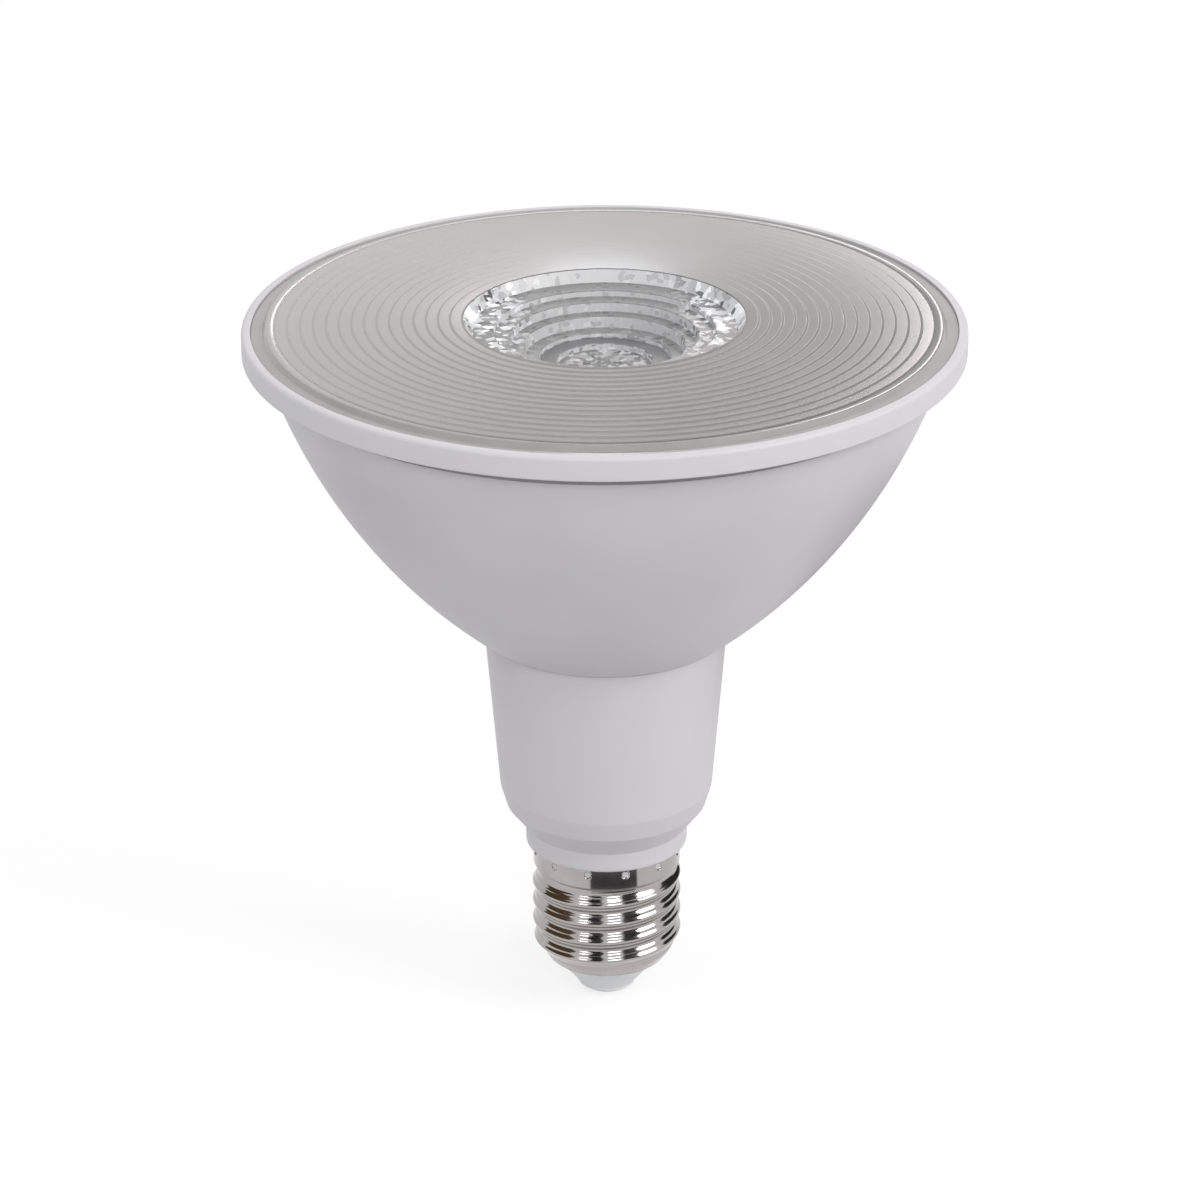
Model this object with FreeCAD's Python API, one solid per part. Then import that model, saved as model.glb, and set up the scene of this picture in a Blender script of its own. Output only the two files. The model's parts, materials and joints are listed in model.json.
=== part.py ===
import FreeCAD, Part
import math
import os

from FreeCAD import Vector

# A reflector spotlight lamp, cap down, in millimetres.
# The origin is the centre of the contact's lowest face, and +Z runs along the axis, out through the lens.

# Fits between pieces
push_clearance = 0.15
glue_clearance = 0.1
cutter_reach = 1.0

# Lengths along the axis, from the contact up
nub_height = 0.8
shell_foot_height = 7.1
cap_height = 29.0
collar_height = 3.6
shoulder_rise = 4.2
neck_roll_height = 3.6
neck_length = 29.3
bowl_depth = 51.6
ring_height = 3.2

# Rim ring around the lens, with a narrow lip over the lens flange
rim_radius = 61.0
ring_wall = 1.1
ring_lip_width = 1.55
ring_lip_thickness = 0.9
ring_overhang = 3.4
ring_lip_round = 0.65
ring_edge_round = 0.3

# Front lens: disc, rim flange and skirt
lens_thickness = 2.4
lens_flange_thickness = 1.0
lens_skirt_width = 4.5

# Steps of the lens's edge, from the rim up to the face: width and rise of the slope, then height of the wall
edge_steps = (
    (0.9, 0.5, 0.55),
    (1.5, 0.5, 0.45),
)

# Ribs on the lens face, each a little wider than the last. They slope up outwards and fall steeply.
rib_margin = 0.3
rib_pitch = 2.0
rib_pitch_growth = 0.014
rib_depth = 0.22
rib_fall = 0.3

# Steps of the central recess, from the outside in: radius of the wall, depth of the floor inside it
recess_steps = (
    (23.8, 2.2),
    (18.8, 3.3),
    (15.9, 5.0),
    (13.7, 7.1),
    (11.2, 7.9),
    (8.1, 9.0),
)
recess_draft = 0.12
recess_mouth_draft = 0.6

# Collimator under the recess
optic_height = 20.0
optic_top_margin = 1.6
optic_foot_radius = 12.0
optic_bulge = 1.5
optic_cavity_radius = 8.6
optic_cavity_draft = 0.8
optic_cavity_wall = 5.4
optic_cavity_crown = 1.5

# Bowl: its outer curve runs from the neck's edge to the ring, and bulges off its chord
bowl_wall = 1.6
bowl_bulge = 4.76
bowl_lip = 0.65
bowl_floor = 2.3
bowl_edge_round = 0.6
bowl_flange_thickness = 0.8
bowl_ledge_height = 3.0
bowl_ledge_width = 1.6

# Gasket in the bowl's top face
gasket_width = 1.5
gasket_height = 0.8
gasket_inset = 3.15

# Neck: taper, rolled lower edge, shoulder, collar and spigot
neck_wall = 1.6
neck_top_radius = 20.95
neck_bottom_radius = 18.5
neck_roll_bulge = 0.35
shoulder_radius = 17.3
collar_radius = 14.1
collar_round = 0.5
spigot_bore_radius = 10.2
seam_gap = 0.1

# Snap hooks of the neck's socket in the bowl
socket_height = 3.9
hook_count = 4
hook_reach = 0.8
hook_angle = 24.0
hook_height = 1.4

# Screw shell and its rolled thread
shell_wall = 0.3
skirt_radius = 12.9
skirt_length = 3.8
thread_crest_radius = 13.05
thread_root_radius = 12.1
thread_pitch = 3.629
thread_front_rise = 7.55
thread_fade = 1.8
thread_stations = 16
thread_rows_a_turn = 8
skirt_overlap = 0.5
shell_foot_radius = 10.6
shell_taper_rise = 4.1

# Punched dimples that lock the skirt to the neck
dimple_count = 12
dimple_radius = 0.6
dimple_drop = 1.25

# Insulator in the tip
nub_radius = 5.1
nub_round = 0.7
nub_waist_radius = 5.75
nub_waist_rise = 1.5
nub_cone_radius = 7.2
nub_cone_rise = 3.3
insulator_rise = 3.9
insulator_pocket = 2.0
insulator_rim = 1.2

# Centre contact
contact_radius = 3.6
contact_round = 0.3
contact_pin_radius = 1.2
contact_pin_rise = 2.0

# Heat sink
sink_wall = 1.6
sink_rise = 10.3
platform_thickness = 2.5
fin_count = 12
fin_thickness = 1.5
fin_inner_radius = 22.0
fin_rise = 14.3

# Light source
pad_thickness = 0.3
board_thickness = 1.6
led_board_radius = 24.0
package_width = 15.0
package_thickness = 1.2
phosphor_radius = 6.2
phosphor_thickness = 0.5
phosphor_sink = 0.2
phosphor_edge = 0.3

# Holder that centres the collimator over the light source
holder_wall = 1.8
holder_foot_radius = 18.2
holder_foot_thickness = 1.5
holder_height = 3.6
holder_clearance = 0.2

# Screws of the light source board
screw_count = 3
screw_phase = 90.0
screw_circle_radius = 21.0
screw_shank_radius = 1.2
screw_head_radius = 2.5
screw_head_edge = 0.9
screw_head_height = 1.8
screw_length = 4.2
screw_slot_width = 0.7
screw_slot_length = 3.0
screw_slot_depth = 0.8
screw_hole_spare = 0.5

# Opening and connector for the light source leads
lead_hole_radius = 3.4
lead_hole_distance = 27.6
connector_size = (7.2, 5.0, 4.4)
connector_distance = 21.0

# Driver board, behind the axis, with a tongue that reaches into the cap
pcb_thickness = 1.2
pcb_offset = 3.0
pcb_side_gap = 1.3
pcb_reach = 3.0
pcb_headroom = 6.3
tongue_side_gap = 0.5
tongue_length = 14.0
tongue_slope = 4.0
rail_wall = 1.2
rail_depth = 1.6
rail_length = 26.0

# Parts near the board's lower edge: x, and rise of the lower end or centre above that edge
fuse_radius = 1.7
fuse_length = 9.0
fuse_round = 0.6
fuse_place = (-4.4, 6.5)
varistor_radius = 3.6
varistor_thickness = 3.4
varistor_bulge = 0.8
varistor_place = (3.6, 8.0)
can_groove = 0.6
can_headroom = 3.0
bulk_radius = 6.2
bulk_place = (-7.4, 20.0)
output_radius = 5.0
output_place = (7.2, 20.5)

# Parts near the board's top edge: x, and drop of the centre below that edge
filter_size = (12.0, 5.5, 10.0)
filter_round = 0.8
filter_place = (-8.2, 20.0)
choke_radius = 4.0
choke_waist = 2.0
choke_flange = 1.2
choke_height = 8.0
choke_coil_margin = 0.5
choke_place = (8.0, 23.5)
core_width = 16.0
core_depth = 4.8
core_half_height = 6.5
core_leg = 2.0
core_centre_leg = 4.0
core_back = 2.0
core_drop = 6.5
core_lift = 6.2
bobbin_wall = 0.6
winding_build = 2.4
winding_round = 2.1

# Parts on the board's back: width, height and thickness, then x and rise above the lower edge
bridge_size = (8.6, 6.4, 2.6)
bridge_place = (0.0, 24.0)
bridge_foot = (1.0, 1.4, 0.4)
bridge_foot_pitch = 5.0
chip_size = (5.0, 4.0, 1.5)
chip_place = (0.0, 38.0)
chip_foot = (0.45, 1.2, 0.25)
chip_foot_pitch = 1.27
chip_feet_a_side = 4
diode_size = (5.6, 3.8, 2.3)
diode_place = (6.0, 54.0)
diode_foot = (1.2, 1.6, 0.3)
resistor_size = (3.2, 1.6, 0.6)
resistor_places = (
    (-10.0, 28.0),
    (-10.0, 32.0),
    (-10.0, 36.0),
    (9.0, 34.0),
    (9.0, 38.0),
    (-3.0, 48.0),
    (1.5, 48.0),
)
ceramic_size = (2.0, 1.25, 1.0)
ceramic_places = ((-6.0, 40.0), (-6.0, 43.5), (6.0, 42.0), (-8.0, 54.0))

# Leads
lead_radius = 0.8
lead_bend = 2.0
live_x = 3.2
live_lap = 2.6
live_drop = 3.5
live_knee = 5.0
neutral_x = -6.6
neutral_lap = 5.0
neutral_rise = 4.0
led_lead_bend = 3.0
led_lead_spacing = 3.4
led_lead_lap = 6.0
led_lead_rise = 3.2
led_lead_insert = 1.5

# Heights that follow, from the cap up
insulator_top = shell_foot_height + insulator_rise
contact_pin_top = insulator_top + contact_pin_rise
spigot_bottom = insulator_top + push_clearance
skirt_bottom = cap_height - skirt_length
thread_top = skirt_bottom - (skirt_radius - thread_root_radius)
collar_top = cap_height + collar_height
shoulder_height = collar_top + shoulder_rise
neck_bottom = shoulder_height + neck_roll_height
bowl_bottom = neck_bottom + neck_length
neck_top = bowl_bottom - seam_gap
bowl_floor_top = bowl_bottom + bowl_floor
ring_bottom = bowl_bottom + bowl_depth
rim_top = ring_bottom + ring_height
lip_underside = rim_top - ring_lip_thickness
seat_height = lip_underside - lens_flange_thickness
lens_face = rim_top + sum(slope_rise + wall_rise for width, slope_rise, wall_rise in edge_steps)
lens_underside = lens_face - lens_thickness

# Heights of the light source, from the collimator down
optic_foot = lens_face - optic_height
phosphor_top = optic_foot - glue_clearance
package_top = phosphor_top - phosphor_thickness
led_board_top = package_top - package_thickness
pad_top = led_board_top - board_thickness
platform_top = pad_top - pad_thickness
platform_bottom = platform_top - platform_thickness
lead_entry_height = led_board_top + connector_size[2] / 2
sink_bottom = bowl_bottom + sink_rise
fin_bottom = bowl_bottom + fin_rise

# Radii that follow
ring_bore = rim_radius - ring_wall
flange_radius = ring_bore - push_clearance
lip_bore = rim_radius - ring_lip_width
lens_radius = lip_bore - push_clearance
face_radius = lens_radius - sum(width for width, slope_rise, wall_rise in edge_steps)
gasket_radius = flange_radius - gasket_inset
bowl_top_radius = rim_radius - ring_overhang
bowl_bottom_radius = neck_top_radius + bowl_lip
rib_first_radius = recess_steps[0][0] + rib_margin
optic_top_radius = recess_steps[0][0] + optic_top_margin
socket_radius = neck_top_radius - neck_wall / 2
socket_bore = socket_radius - neck_wall
neck_bore = neck_bottom_radius - neck_wall
grip_radius = skirt_radius - shell_wall - push_clearance
spigot_radius = thread_root_radius - shell_wall - push_clearance

# Places on the driver board
pcb_front = pcb_thickness / 2 - pcb_offset
pcb_back = -pcb_thickness / 2 - pcb_offset
pcb_half_width = math.sqrt(neck_bore**2 - pcb_back**2) - pcb_side_gap
tongue_half_width = math.sqrt(spigot_bore_radius**2 - pcb_back**2) - tongue_side_gap
pcb_bottom = cap_height - pcb_reach
pcb_top = platform_bottom - pcb_headroom
core_middle = pcb_top - core_drop
core_y = pcb_front + core_lift
filter_bottom = pcb_top - filter_place[1] - filter_size[2] / 2
choke_bottom = pcb_top - choke_place[1] - choke_radius
bulk_length = filter_bottom - can_headroom - pcb_bottom - bulk_place[1]
output_length = choke_bottom - can_headroom - pcb_bottom - output_place[1]
neutral_y = pcb_front + lead_radius
neutral_height = insulator_top + neutral_rise


def outline(*points):
    """A closed wire in the XZ plane. A point is (r, z), and (via, end) is an arc through via to end."""
    edges = []
    here = Vector(points[0][0], 0, points[0][1])
    for point in points[1:] + (points[0],):
        if isinstance(point[0], tuple):
            via, end = (Vector(p[0], 0, p[1]) for p in point)
            edges.append(Part.Arc(here, via, end).toShape())
        else:
            end = Vector(point[0], 0, point[1])
            if end.distanceToPoint(here) < 1e-6:
                continue
            edges.append(Part.LineSegment(here, end).toShape())
        here = end
    return Part.Wire(edges)


def turned(*points, angle=360.0):
    """The solid that an outline of (r, z) points sweeps around the axis."""
    return Part.Face(outline(*points)).revolve(Vector(0, 0, 0), Vector(0, 0, 1), angle)


def corner(centre, radius, start, end):
    """A round corner for an outline: the arc's middle point and its end, with angles in degrees."""
    middle = math.radians((start + end) / 2)
    last = math.radians(end)
    return (
        (centre[0] + radius * math.cos(middle), centre[1] + radius * math.sin(middle)),
        (centre[0] + radius * math.cos(last), centre[1] + radius * math.sin(last)),
    )


def circle_through(a, b, c):
    """Centre and radius of the circle through three (r, z) points."""
    ax, az = b[0] - a[0], b[1] - a[1]
    bx, bz = c[0] - a[0], c[1] - a[1]
    d = 2 * (ax * bz - az * bx)
    x = (bz * (ax * ax + az * az) - az * (bx * bx + bz * bz)) / d
    z = (ax * (bx * bx + bz * bz) - bx * (ax * ax + az * az)) / d
    return (a[0] + x, a[1] + z), math.hypot(x, z)


def bulged(low, high, bulge):
    """The middle of an arc between two (r, z) points, which stands a bulge outwards off its chord."""
    run = (high[0] - low[0], high[1] - low[1])
    length = math.hypot(*run)
    return (
        (low[0] + high[0]) / 2 + bulge * run[1] / length,
        (low[1] + high[1]) / 2 - bulge * run[0] / length,
    )


def box(low, high):
    size = [b - a for a, b in zip(low, high)]
    return Part.makeBox(size[0], size[1], size[2], Vector(*low))


def rod(base, radius, length, direction=(0, 0, 1)):
    return Part.makeCylinder(radius, length, Vector(*base), Vector(*direction))


def around(shape, count, phase=0.0):
    """Copies of a shape, evenly spaced about the axis."""
    copies = []
    for i in range(count):
        copy = shape.copy()
        copy.rotate(Vector(0, 0, 0), Vector(0, 0, 1), phase + i * 360.0 / count)
        copies.append(copy)
    return copies


def lead(points, bend):
    """A wire of straight runs joined by tangent arcs."""
    corners = [Vector(*p) for p in points]
    edges = []
    here = corners[0]
    for before, point, after in zip(corners, corners[1:], corners[2:]):
        back = (before - point).normalize()
        on = (after - point).normalize()
        turn = math.pi - back.getAngle(on)
        reach = bend * math.tan(turn / 2)
        start = point + back * reach
        end = point + on * reach
        middle = point + (back + on).normalize() * (bend / math.cos(turn / 2) - bend)
        edges.append(Part.LineSegment(here, start).toShape())
        edges.append(Part.Arc(start, middle, end).toShape())
        here = end
    edges.append(Part.LineSegment(here, corners[-1]).toShape())
    ring = Part.Wire(Part.Circle(corners[0], corners[1] - corners[0], lead_radius).toShape())
    return Part.Wire(edges).makePipeShell([ring], True, False)


bowl_foot = (bowl_bottom_radius, bowl_bottom)
bowl_top = (bowl_top_radius, ring_bottom)
bowl_centre, bowl_curve = circle_through(bowl_foot, bulged(bowl_foot, bowl_top, bowl_bulge), bowl_top)


def bowl_radius(height, inset=0.0):
    """Radius of the bowl's curve at a height, set in by a wall."""
    rise = height - bowl_centre[1]
    return bowl_centre[0] + math.sqrt((bowl_curve - inset) ** 2 - rise**2)


def bowl_arc(low, high, inset=0.0):
    """The bowl's curve as the middle and end of an arc from one height to the other."""
    middle = (low + high) / 2
    return (bowl_radius(middle, inset), middle), (bowl_radius(high, inset), high)


def make_front_ring():
    lip = ring_lip_round
    edge = ring_edge_round
    return turned(
        (lip_bore, lip_underside),
        (lip_bore, rim_top - edge),
        corner((lip_bore + edge, rim_top - edge), edge, 180, 90),
        (rim_radius - lip, rim_top),
        corner((rim_radius - lip, rim_top - lip), lip, 90, 0),
        (rim_radius, ring_bottom + edge),
        corner((rim_radius - edge, ring_bottom + edge), edge, 0, -90),
        (ring_bore, ring_bottom),
        (ring_bore, lip_underside),
    )


def recess_outline():
    """The stepped recess, from the middle of its floor out to its mouth."""
    points = []
    for i, (radius, depth) in enumerate(recess_steps):
        above = recess_steps[i - 1][1] if i else 0.0
        draft = recess_draft if i else recess_mouth_draft
        points.append((radius, lens_face - above))
        points.append((radius - draft * (depth - above), lens_face - depth))
    return points[::-1]


def rib_outline():
    """The ribs' valleys and crests, from the recess out to the edge of the face."""
    points = []
    valley = rib_first_radius
    pitch = rib_pitch
    while valley + pitch < face_radius:
        points.append((valley, lens_face - rib_depth))
        points.append((valley + pitch - rib_fall, lens_face))
        valley += pitch
        pitch += rib_pitch_growth
    return points


def edge_outline():
    """The steps of the lens's edge, from the face down to the rim."""
    radius, height = lens_radius, rim_top
    points = [(radius, height)]
    for width, slope_rise, wall_rise in edge_steps:
        radius -= width
        height += slope_rise
        points.append((radius, height))
        height += wall_rise
        points.append((radius, height))
    return points[::-1]


def optic_flank():
    """The collimator's curved outer wall: three points, from the foot up."""
    foot = (optic_foot_radius, optic_foot)
    top = (optic_top_radius, lens_underside)
    return foot, bulged(foot, top, optic_bulge), top


def make_front_lens():
    foot, flank, top = optic_flank()
    cavity_top = optic_foot + optic_cavity_wall
    cavity_radius = optic_cavity_radius - optic_cavity_draft
    crown = cavity_top + optic_cavity_crown
    centre, curve = circle_through((-cavity_radius, cavity_top), (0.0, crown), (cavity_radius, cavity_top))
    half = cavity_radius / 2
    half_height = centre[1] + math.sqrt(curve**2 - half**2)
    return turned(
        (0.0, lens_face - recess_steps[-1][1]),
        *recess_outline(),
        *rib_outline(),
        *edge_outline(),
        (lens_radius, lip_underside),
        (flange_radius, lip_underside),
        (flange_radius, seat_height),
        (lens_radius - lens_skirt_width, seat_height),
        (lens_radius - lens_skirt_width, lens_underside),
        top,
        (flank, foot),
        (optic_cavity_radius, optic_foot),
        (cavity_radius, cavity_top),
        ((half, half_height), (0.0, crown)),
    )


def make_lens_gasket():
    inner = gasket_radius - gasket_width / 2
    outer = gasket_radius + gasket_width / 2
    low = seat_height - gasket_height
    bulge = gasket_height / 4
    middle = seat_height - gasket_height / 2
    return turned(
        (inner + bulge, low),
        (outer - bulge, low),
        ((outer, middle), (outer - bulge, seat_height)),
        (inner + bulge, seat_height),
        ((inner, middle), (inner + bulge, low)),
    )


def make_bowl_housing():
    edge = bowl_edge_round
    flange_bottom = seat_height - bowl_flange_thickness
    ledge_radius = bowl_radius(seat_height) - bowl_wall - bowl_ledge_width
    ledge_bottom = seat_height - bowl_ledge_height
    slope = bowl_ledge_width / 2
    hole = socket_radius + push_clearance
    groove_inner = gasket_radius - gasket_width / 2 - glue_clearance
    groove_outer = gasket_radius + gasket_width / 2 + glue_clearance
    groove_floor = seat_height - gasket_height
    return turned(
        (hole, bowl_bottom),
        (bowl_radius(bowl_bottom + edge) - 2 * edge, bowl_bottom),
        (bowl_radius(bowl_bottom + edge), bowl_bottom + edge),
        bowl_arc(bowl_bottom + edge, flange_bottom),
        (flange_radius, flange_bottom),
        (flange_radius, seat_height),
        (groove_outer, seat_height),
        (groove_outer, groove_floor),
        (groove_inner, groove_floor),
        (groove_inner, seat_height),
        (ledge_radius, seat_height),
        (ledge_radius, ledge_bottom + slope),
        (bowl_radius(ledge_bottom - slope, bowl_wall), ledge_bottom - slope),
        bowl_arc(ledge_bottom - slope, bowl_floor_top, bowl_wall),
        (hole, bowl_floor_top),
    )


def neck_body():
    """The turned form of the neck: socket, taper, shoulder, collar, grip band and spigot."""
    collar = collar_round
    grip_bottom = skirt_bottom + push_clearance
    roll_radius = (neck_bottom_radius + shoulder_radius) / 2 + neck_roll_bulge
    return turned(
        (socket_bore, neck_top + socket_height),
        (socket_radius, neck_top + socket_height),
        (socket_radius, neck_top),
        (neck_top_radius, neck_top),
        (neck_bottom_radius, neck_bottom),
        ((roll_radius, (neck_bottom + shoulder_height) / 2), (shoulder_radius, shoulder_height)),
        (collar_radius, collar_top),
        (collar_radius, cap_height + collar),
        corner((collar_radius - collar, cap_height + collar), collar, 0, -90),
        (grip_radius, cap_height),
        (grip_radius, grip_bottom),
        (spigot_radius, grip_bottom - (grip_radius - spigot_radius)),
        (spigot_radius, spigot_bottom),
        (spigot_bore_radius, spigot_bottom),
        (spigot_bore_radius, collar_top),
        (neck_bore - neck_wall, shoulder_height + neck_wall),
        (neck_bore, neck_bottom + neck_wall),
    )


def snap_hooks():
    """Hooks on the neck's socket that catch behind the bowl's floor."""
    low = bowl_floor_top + push_clearance
    root = socket_radius - neck_wall / 2
    hook = turned(
        (root, low),
        (socket_radius + hook_reach, low),
        (socket_radius, low + hook_height),
        (root, low + hook_height),
        angle=hook_angle,
    )
    return around(hook, hook_count, (360 / hook_count - hook_angle) / 2)


def board_rails():
    """Grooved rails inside the neck that hold the driver board by its edges."""
    low = neck_bottom + neck_wall
    high = low + rail_length
    slot = pcb_thickness / 2 + push_clearance
    rail = box(
        (pcb_half_width - rail_depth, -pcb_offset - slot - rail_wall, low),
        (neck_top_radius, -pcb_offset + slot + rail_wall, high),
    )
    groove_half = pcb_half_width + push_clearance
    groove = box((-groove_half, -pcb_offset - slot, low), (groove_half, -pcb_offset + slot, high))
    inside = turned(
        (0.0, low),
        (neck_bore + neck_wall / 2, low),
        (socket_bore + neck_wall / 2, neck_top),
        (0.0, neck_top),
    )
    rails = [rail, rail.mirror(Vector(0, 0, 0), Vector(1, 0, 0))]
    return [r.common(inside).cut(groove) for r in rails]


def make_neck_housing():
    reach = lead_radius + push_clearance
    notch = box(
        (-spigot_radius - cutter_reach, neutral_y - reach, spigot_bottom - cutter_reach),
        (neutral_x, neutral_y + reach, neutral_height + reach),
    )
    neck = neck_body().fuse(snap_hooks() + board_rails())
    neck = neck.cut([notch] + dimple_balls(shell_wall + glue_clearance))
    return neck.removeSplitter()


def dimple_balls(wall=0.0):
    """Balls on the skirt where the punch pressed in its dimples, grown by a wall."""
    ball = Part.makeSphere(dimple_radius + wall, Vector(skirt_radius, 0, cap_height - dimple_drop))
    return around(ball, dimple_count, 180.0 / dimple_count)


def dimple_bumps():
    """The metal that the punch pushed in behind each dimple."""
    reach = dimple_radius + cutter_reach
    inside = rod((0, 0, cap_height - dimple_drop - reach), skirt_radius - shell_wall / 2, 2 * reach)
    return [ball.common(inside) for ball in dimple_balls(shell_wall)]


def eased(share):
    """Rises smoothly from 0 to 1 as the share does."""
    share = min(max(share, 0.0), 1.0)
    return share * share * (3 - 2 * share)


def shell_radius(height):
    """Radius of the shell without its thread: a round taper at the foot, and straight above it."""
    share = min((height - shell_foot_height) / shell_taper_rise, 1.0)
    return shell_foot_radius + (thread_root_radius - shell_foot_radius) * math.sin(math.pi / 2 * share)


def thread_radius(height, angle):
    """Radius with the right-hand thread, which fades in along the taper and out below the skirt."""
    turns = (height - shell_foot_height - thread_front_rise) / thread_pitch - (angle + 90.0) / 360.0
    wave = (1 + math.cos(2 * math.pi * turns)) / 2
    fade = eased((height - shell_foot_height) / shell_taper_rise) * eased((thread_top - height) / thread_fade)
    return shell_radius(height) + (thread_crest_radius - thread_root_radius) * fade * wave


def threaded_core(low, high, inset):
    """A solid whose side is one smooth surface through points of the thread, set in by a wall."""
    rows = math.ceil((high - low) / thread_pitch * thread_rows_a_turn)
    grid = []
    for i in range(rows + 1):
        height = low + (high - low) * i / rows
        row = []
        for k in range(thread_stations + 1):
            angle = 360.0 * (k % thread_stations) / thread_stations
            radius = thread_radius(height, angle) - inset
            turn = math.radians(angle)
            row.append(Vector(radius * math.cos(turn), radius * math.sin(turn), height))
        grid.append(row)
    surface = Part.BSplineSurface()
    surface.interpolate(grid)
    side = surface.toShape()
    ends = [e for e in side.Edges if e.BoundBox.ZLength < glue_clearance]
    shell = Part.makeShell([side] + [Part.Face(Part.Wire([e])) for e in ends])
    shell.sewShape()
    return Part.makeSolid(shell)


def shell_form(low, high, inset):
    """The threaded core and the skirt as one solid, set in by a wall."""
    skirt = turned(
        (0.0, high),
        (skirt_radius - inset, high),
        (skirt_radius - inset, skirt_bottom),
        (thread_root_radius - skirt_overlap - inset, thread_top - skirt_overlap),
        (0.0, thread_top - skirt_overlap),
    )
    return threaded_core(low, thread_top + skirt_overlap, inset).fuse(skirt)


def make_screw_shell():
    outside = shell_form(shell_foot_height, cap_height, 0.0)
    inside = shell_form(shell_foot_height - cutter_reach, cap_height + cutter_reach, shell_wall)
    return outside.cut(inside).fuse(dimple_bumps()).cut(dimple_balls())


def make_cap_insulator():
    edge = nub_round
    top = shell_foot_height - glue_clearance
    fit = shell_wall + glue_clearance
    rim = shell_foot_radius - fit
    plug_middle = shell_foot_height + shell_taper_rise / 2
    plug = shell_radius(insulator_top) - fit
    sleeve = contact_pin_radius + insulator_rim
    pocket_floor = insulator_top - insulator_pocket
    return turned(
        (contact_pin_radius, nub_height),
        (nub_radius - edge, nub_height),
        corner((nub_radius - edge, nub_height + edge), edge, -90, 0),
        (nub_waist_radius, nub_height + nub_waist_rise),
        ((nub_cone_radius, nub_height + nub_cone_rise), (rim + shell_wall, top)),
        (rim, top),
        (shell_radius(plug_middle) - fit, plug_middle),
        (plug, insulator_top),
        (plug - insulator_rim, insulator_top),
        (plug - insulator_rim, pocket_floor),
        (sleeve, pocket_floor),
        (sleeve, insulator_top),
        (contact_pin_radius, insulator_top),
    )


def make_centre_contact():
    edge = contact_round
    return turned(
        (0.0, 0.0),
        (contact_radius - edge, 0.0),
        corner((contact_radius - edge, edge), edge, -90, 0),
        (contact_radius, nub_height),
        (contact_pin_radius, nub_height),
        (contact_pin_radius, contact_pin_top),
        (0.0, contact_pin_top),
    )


def make_heat_sink():
    inset = bowl_wall + glue_clearance
    inner = inset + sink_wall
    fin_root = inner - sink_wall / 2
    top = seat_height - bowl_ledge_height - bowl_ledge_width / 2 - push_clearance
    shell = turned(
        (bowl_radius(sink_bottom, inner), sink_bottom),
        (bowl_radius(sink_bottom, inset), sink_bottom),
        bowl_arc(sink_bottom, top, inset),
        (bowl_radius(top, inner), top),
        bowl_arc(top, platform_top, inner),
        (0.0, platform_top),
        (0.0, platform_bottom),
        (bowl_radius(platform_bottom, inner), platform_bottom),
        bowl_arc(platform_bottom, sink_bottom, inner),
    )
    fin_space = turned(
        (0.0, fin_bottom),
        (bowl_radius(fin_bottom, fin_root), fin_bottom),
        bowl_arc(fin_bottom, platform_bottom, fin_root),
        (0.0, platform_bottom),
    )
    fin = box(
        (fin_inner_radius, -fin_thickness / 2, fin_bottom),
        (rim_radius, fin_thickness / 2, platform_bottom),
    )
    fins = [f.common(fin_space) for f in around(fin, fin_count, 180.0 / fin_count)]
    lead_hole = rod(
        (0, -lead_hole_distance, platform_bottom - cutter_reach),
        lead_hole_radius,
        platform_thickness + 2 * cutter_reach,
    )
    tapped_bottom = led_board_top - screw_length - screw_hole_spare
    tapped = rod((screw_circle_radius, 0, tapped_bottom), screw_shank_radius, led_board_top - tapped_bottom)
    return shell.fuse(fins).cut([lead_hole] + around(tapped, screw_count, screw_phase))


def board_disc(low, thickness):
    """A disc of the light source's stack, with its screw holes."""
    hole = rod(
        (screw_circle_radius, 0, low - cutter_reach),
        screw_shank_radius + push_clearance,
        thickness + 2 * cutter_reach,
    )
    return rod((0, 0, low), led_board_radius, thickness).cut(around(hole, screw_count, screw_phase))


def make_thermal_pad():
    return board_disc(platform_top, pad_thickness)


def make_led_board():
    return board_disc(pad_top, board_thickness)


def make_board_screws():
    middle = math.sqrt(0.5)
    dome = screw_head_height - screw_head_edge
    head = turned(
        (0.0, -screw_length),
        (screw_shank_radius, -screw_length),
        (screw_shank_radius, 0.0),
        (screw_head_radius, 0.0),
        (screw_head_radius, screw_head_edge),
        ((middle * screw_head_radius, screw_head_edge + middle * dome), (0.0, screw_head_height)),
    )
    long, short = screw_slot_length / 2, screw_slot_width / 2
    low = screw_head_height - screw_slot_depth
    high = screw_head_height + cutter_reach
    cross = [box((-long, -short, low), (long, short, high)), box((-short, -long, low), (short, long, high))]
    screw = head.cut(cross)
    screw.translate(Vector(screw_circle_radius, 0, led_board_top))
    return Part.makeCompound([s for piece in around(screw, screw_count, screw_phase) for s in piece.Solids])


def make_led_package():
    half = package_width / 2
    slab = box((-half, -half, led_board_top), (half, half, package_top))
    return slab.cut(rod((0, 0, package_top - phosphor_sink), phosphor_radius, cutter_reach))


def make_led_phosphor():
    return turned(
        (0.0, package_top - phosphor_sink),
        (phosphor_radius, package_top - phosphor_sink),
        (phosphor_radius, phosphor_top - phosphor_edge),
        (phosphor_radius - phosphor_edge, phosphor_top),
        (0.0, phosphor_top),
    )


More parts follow.
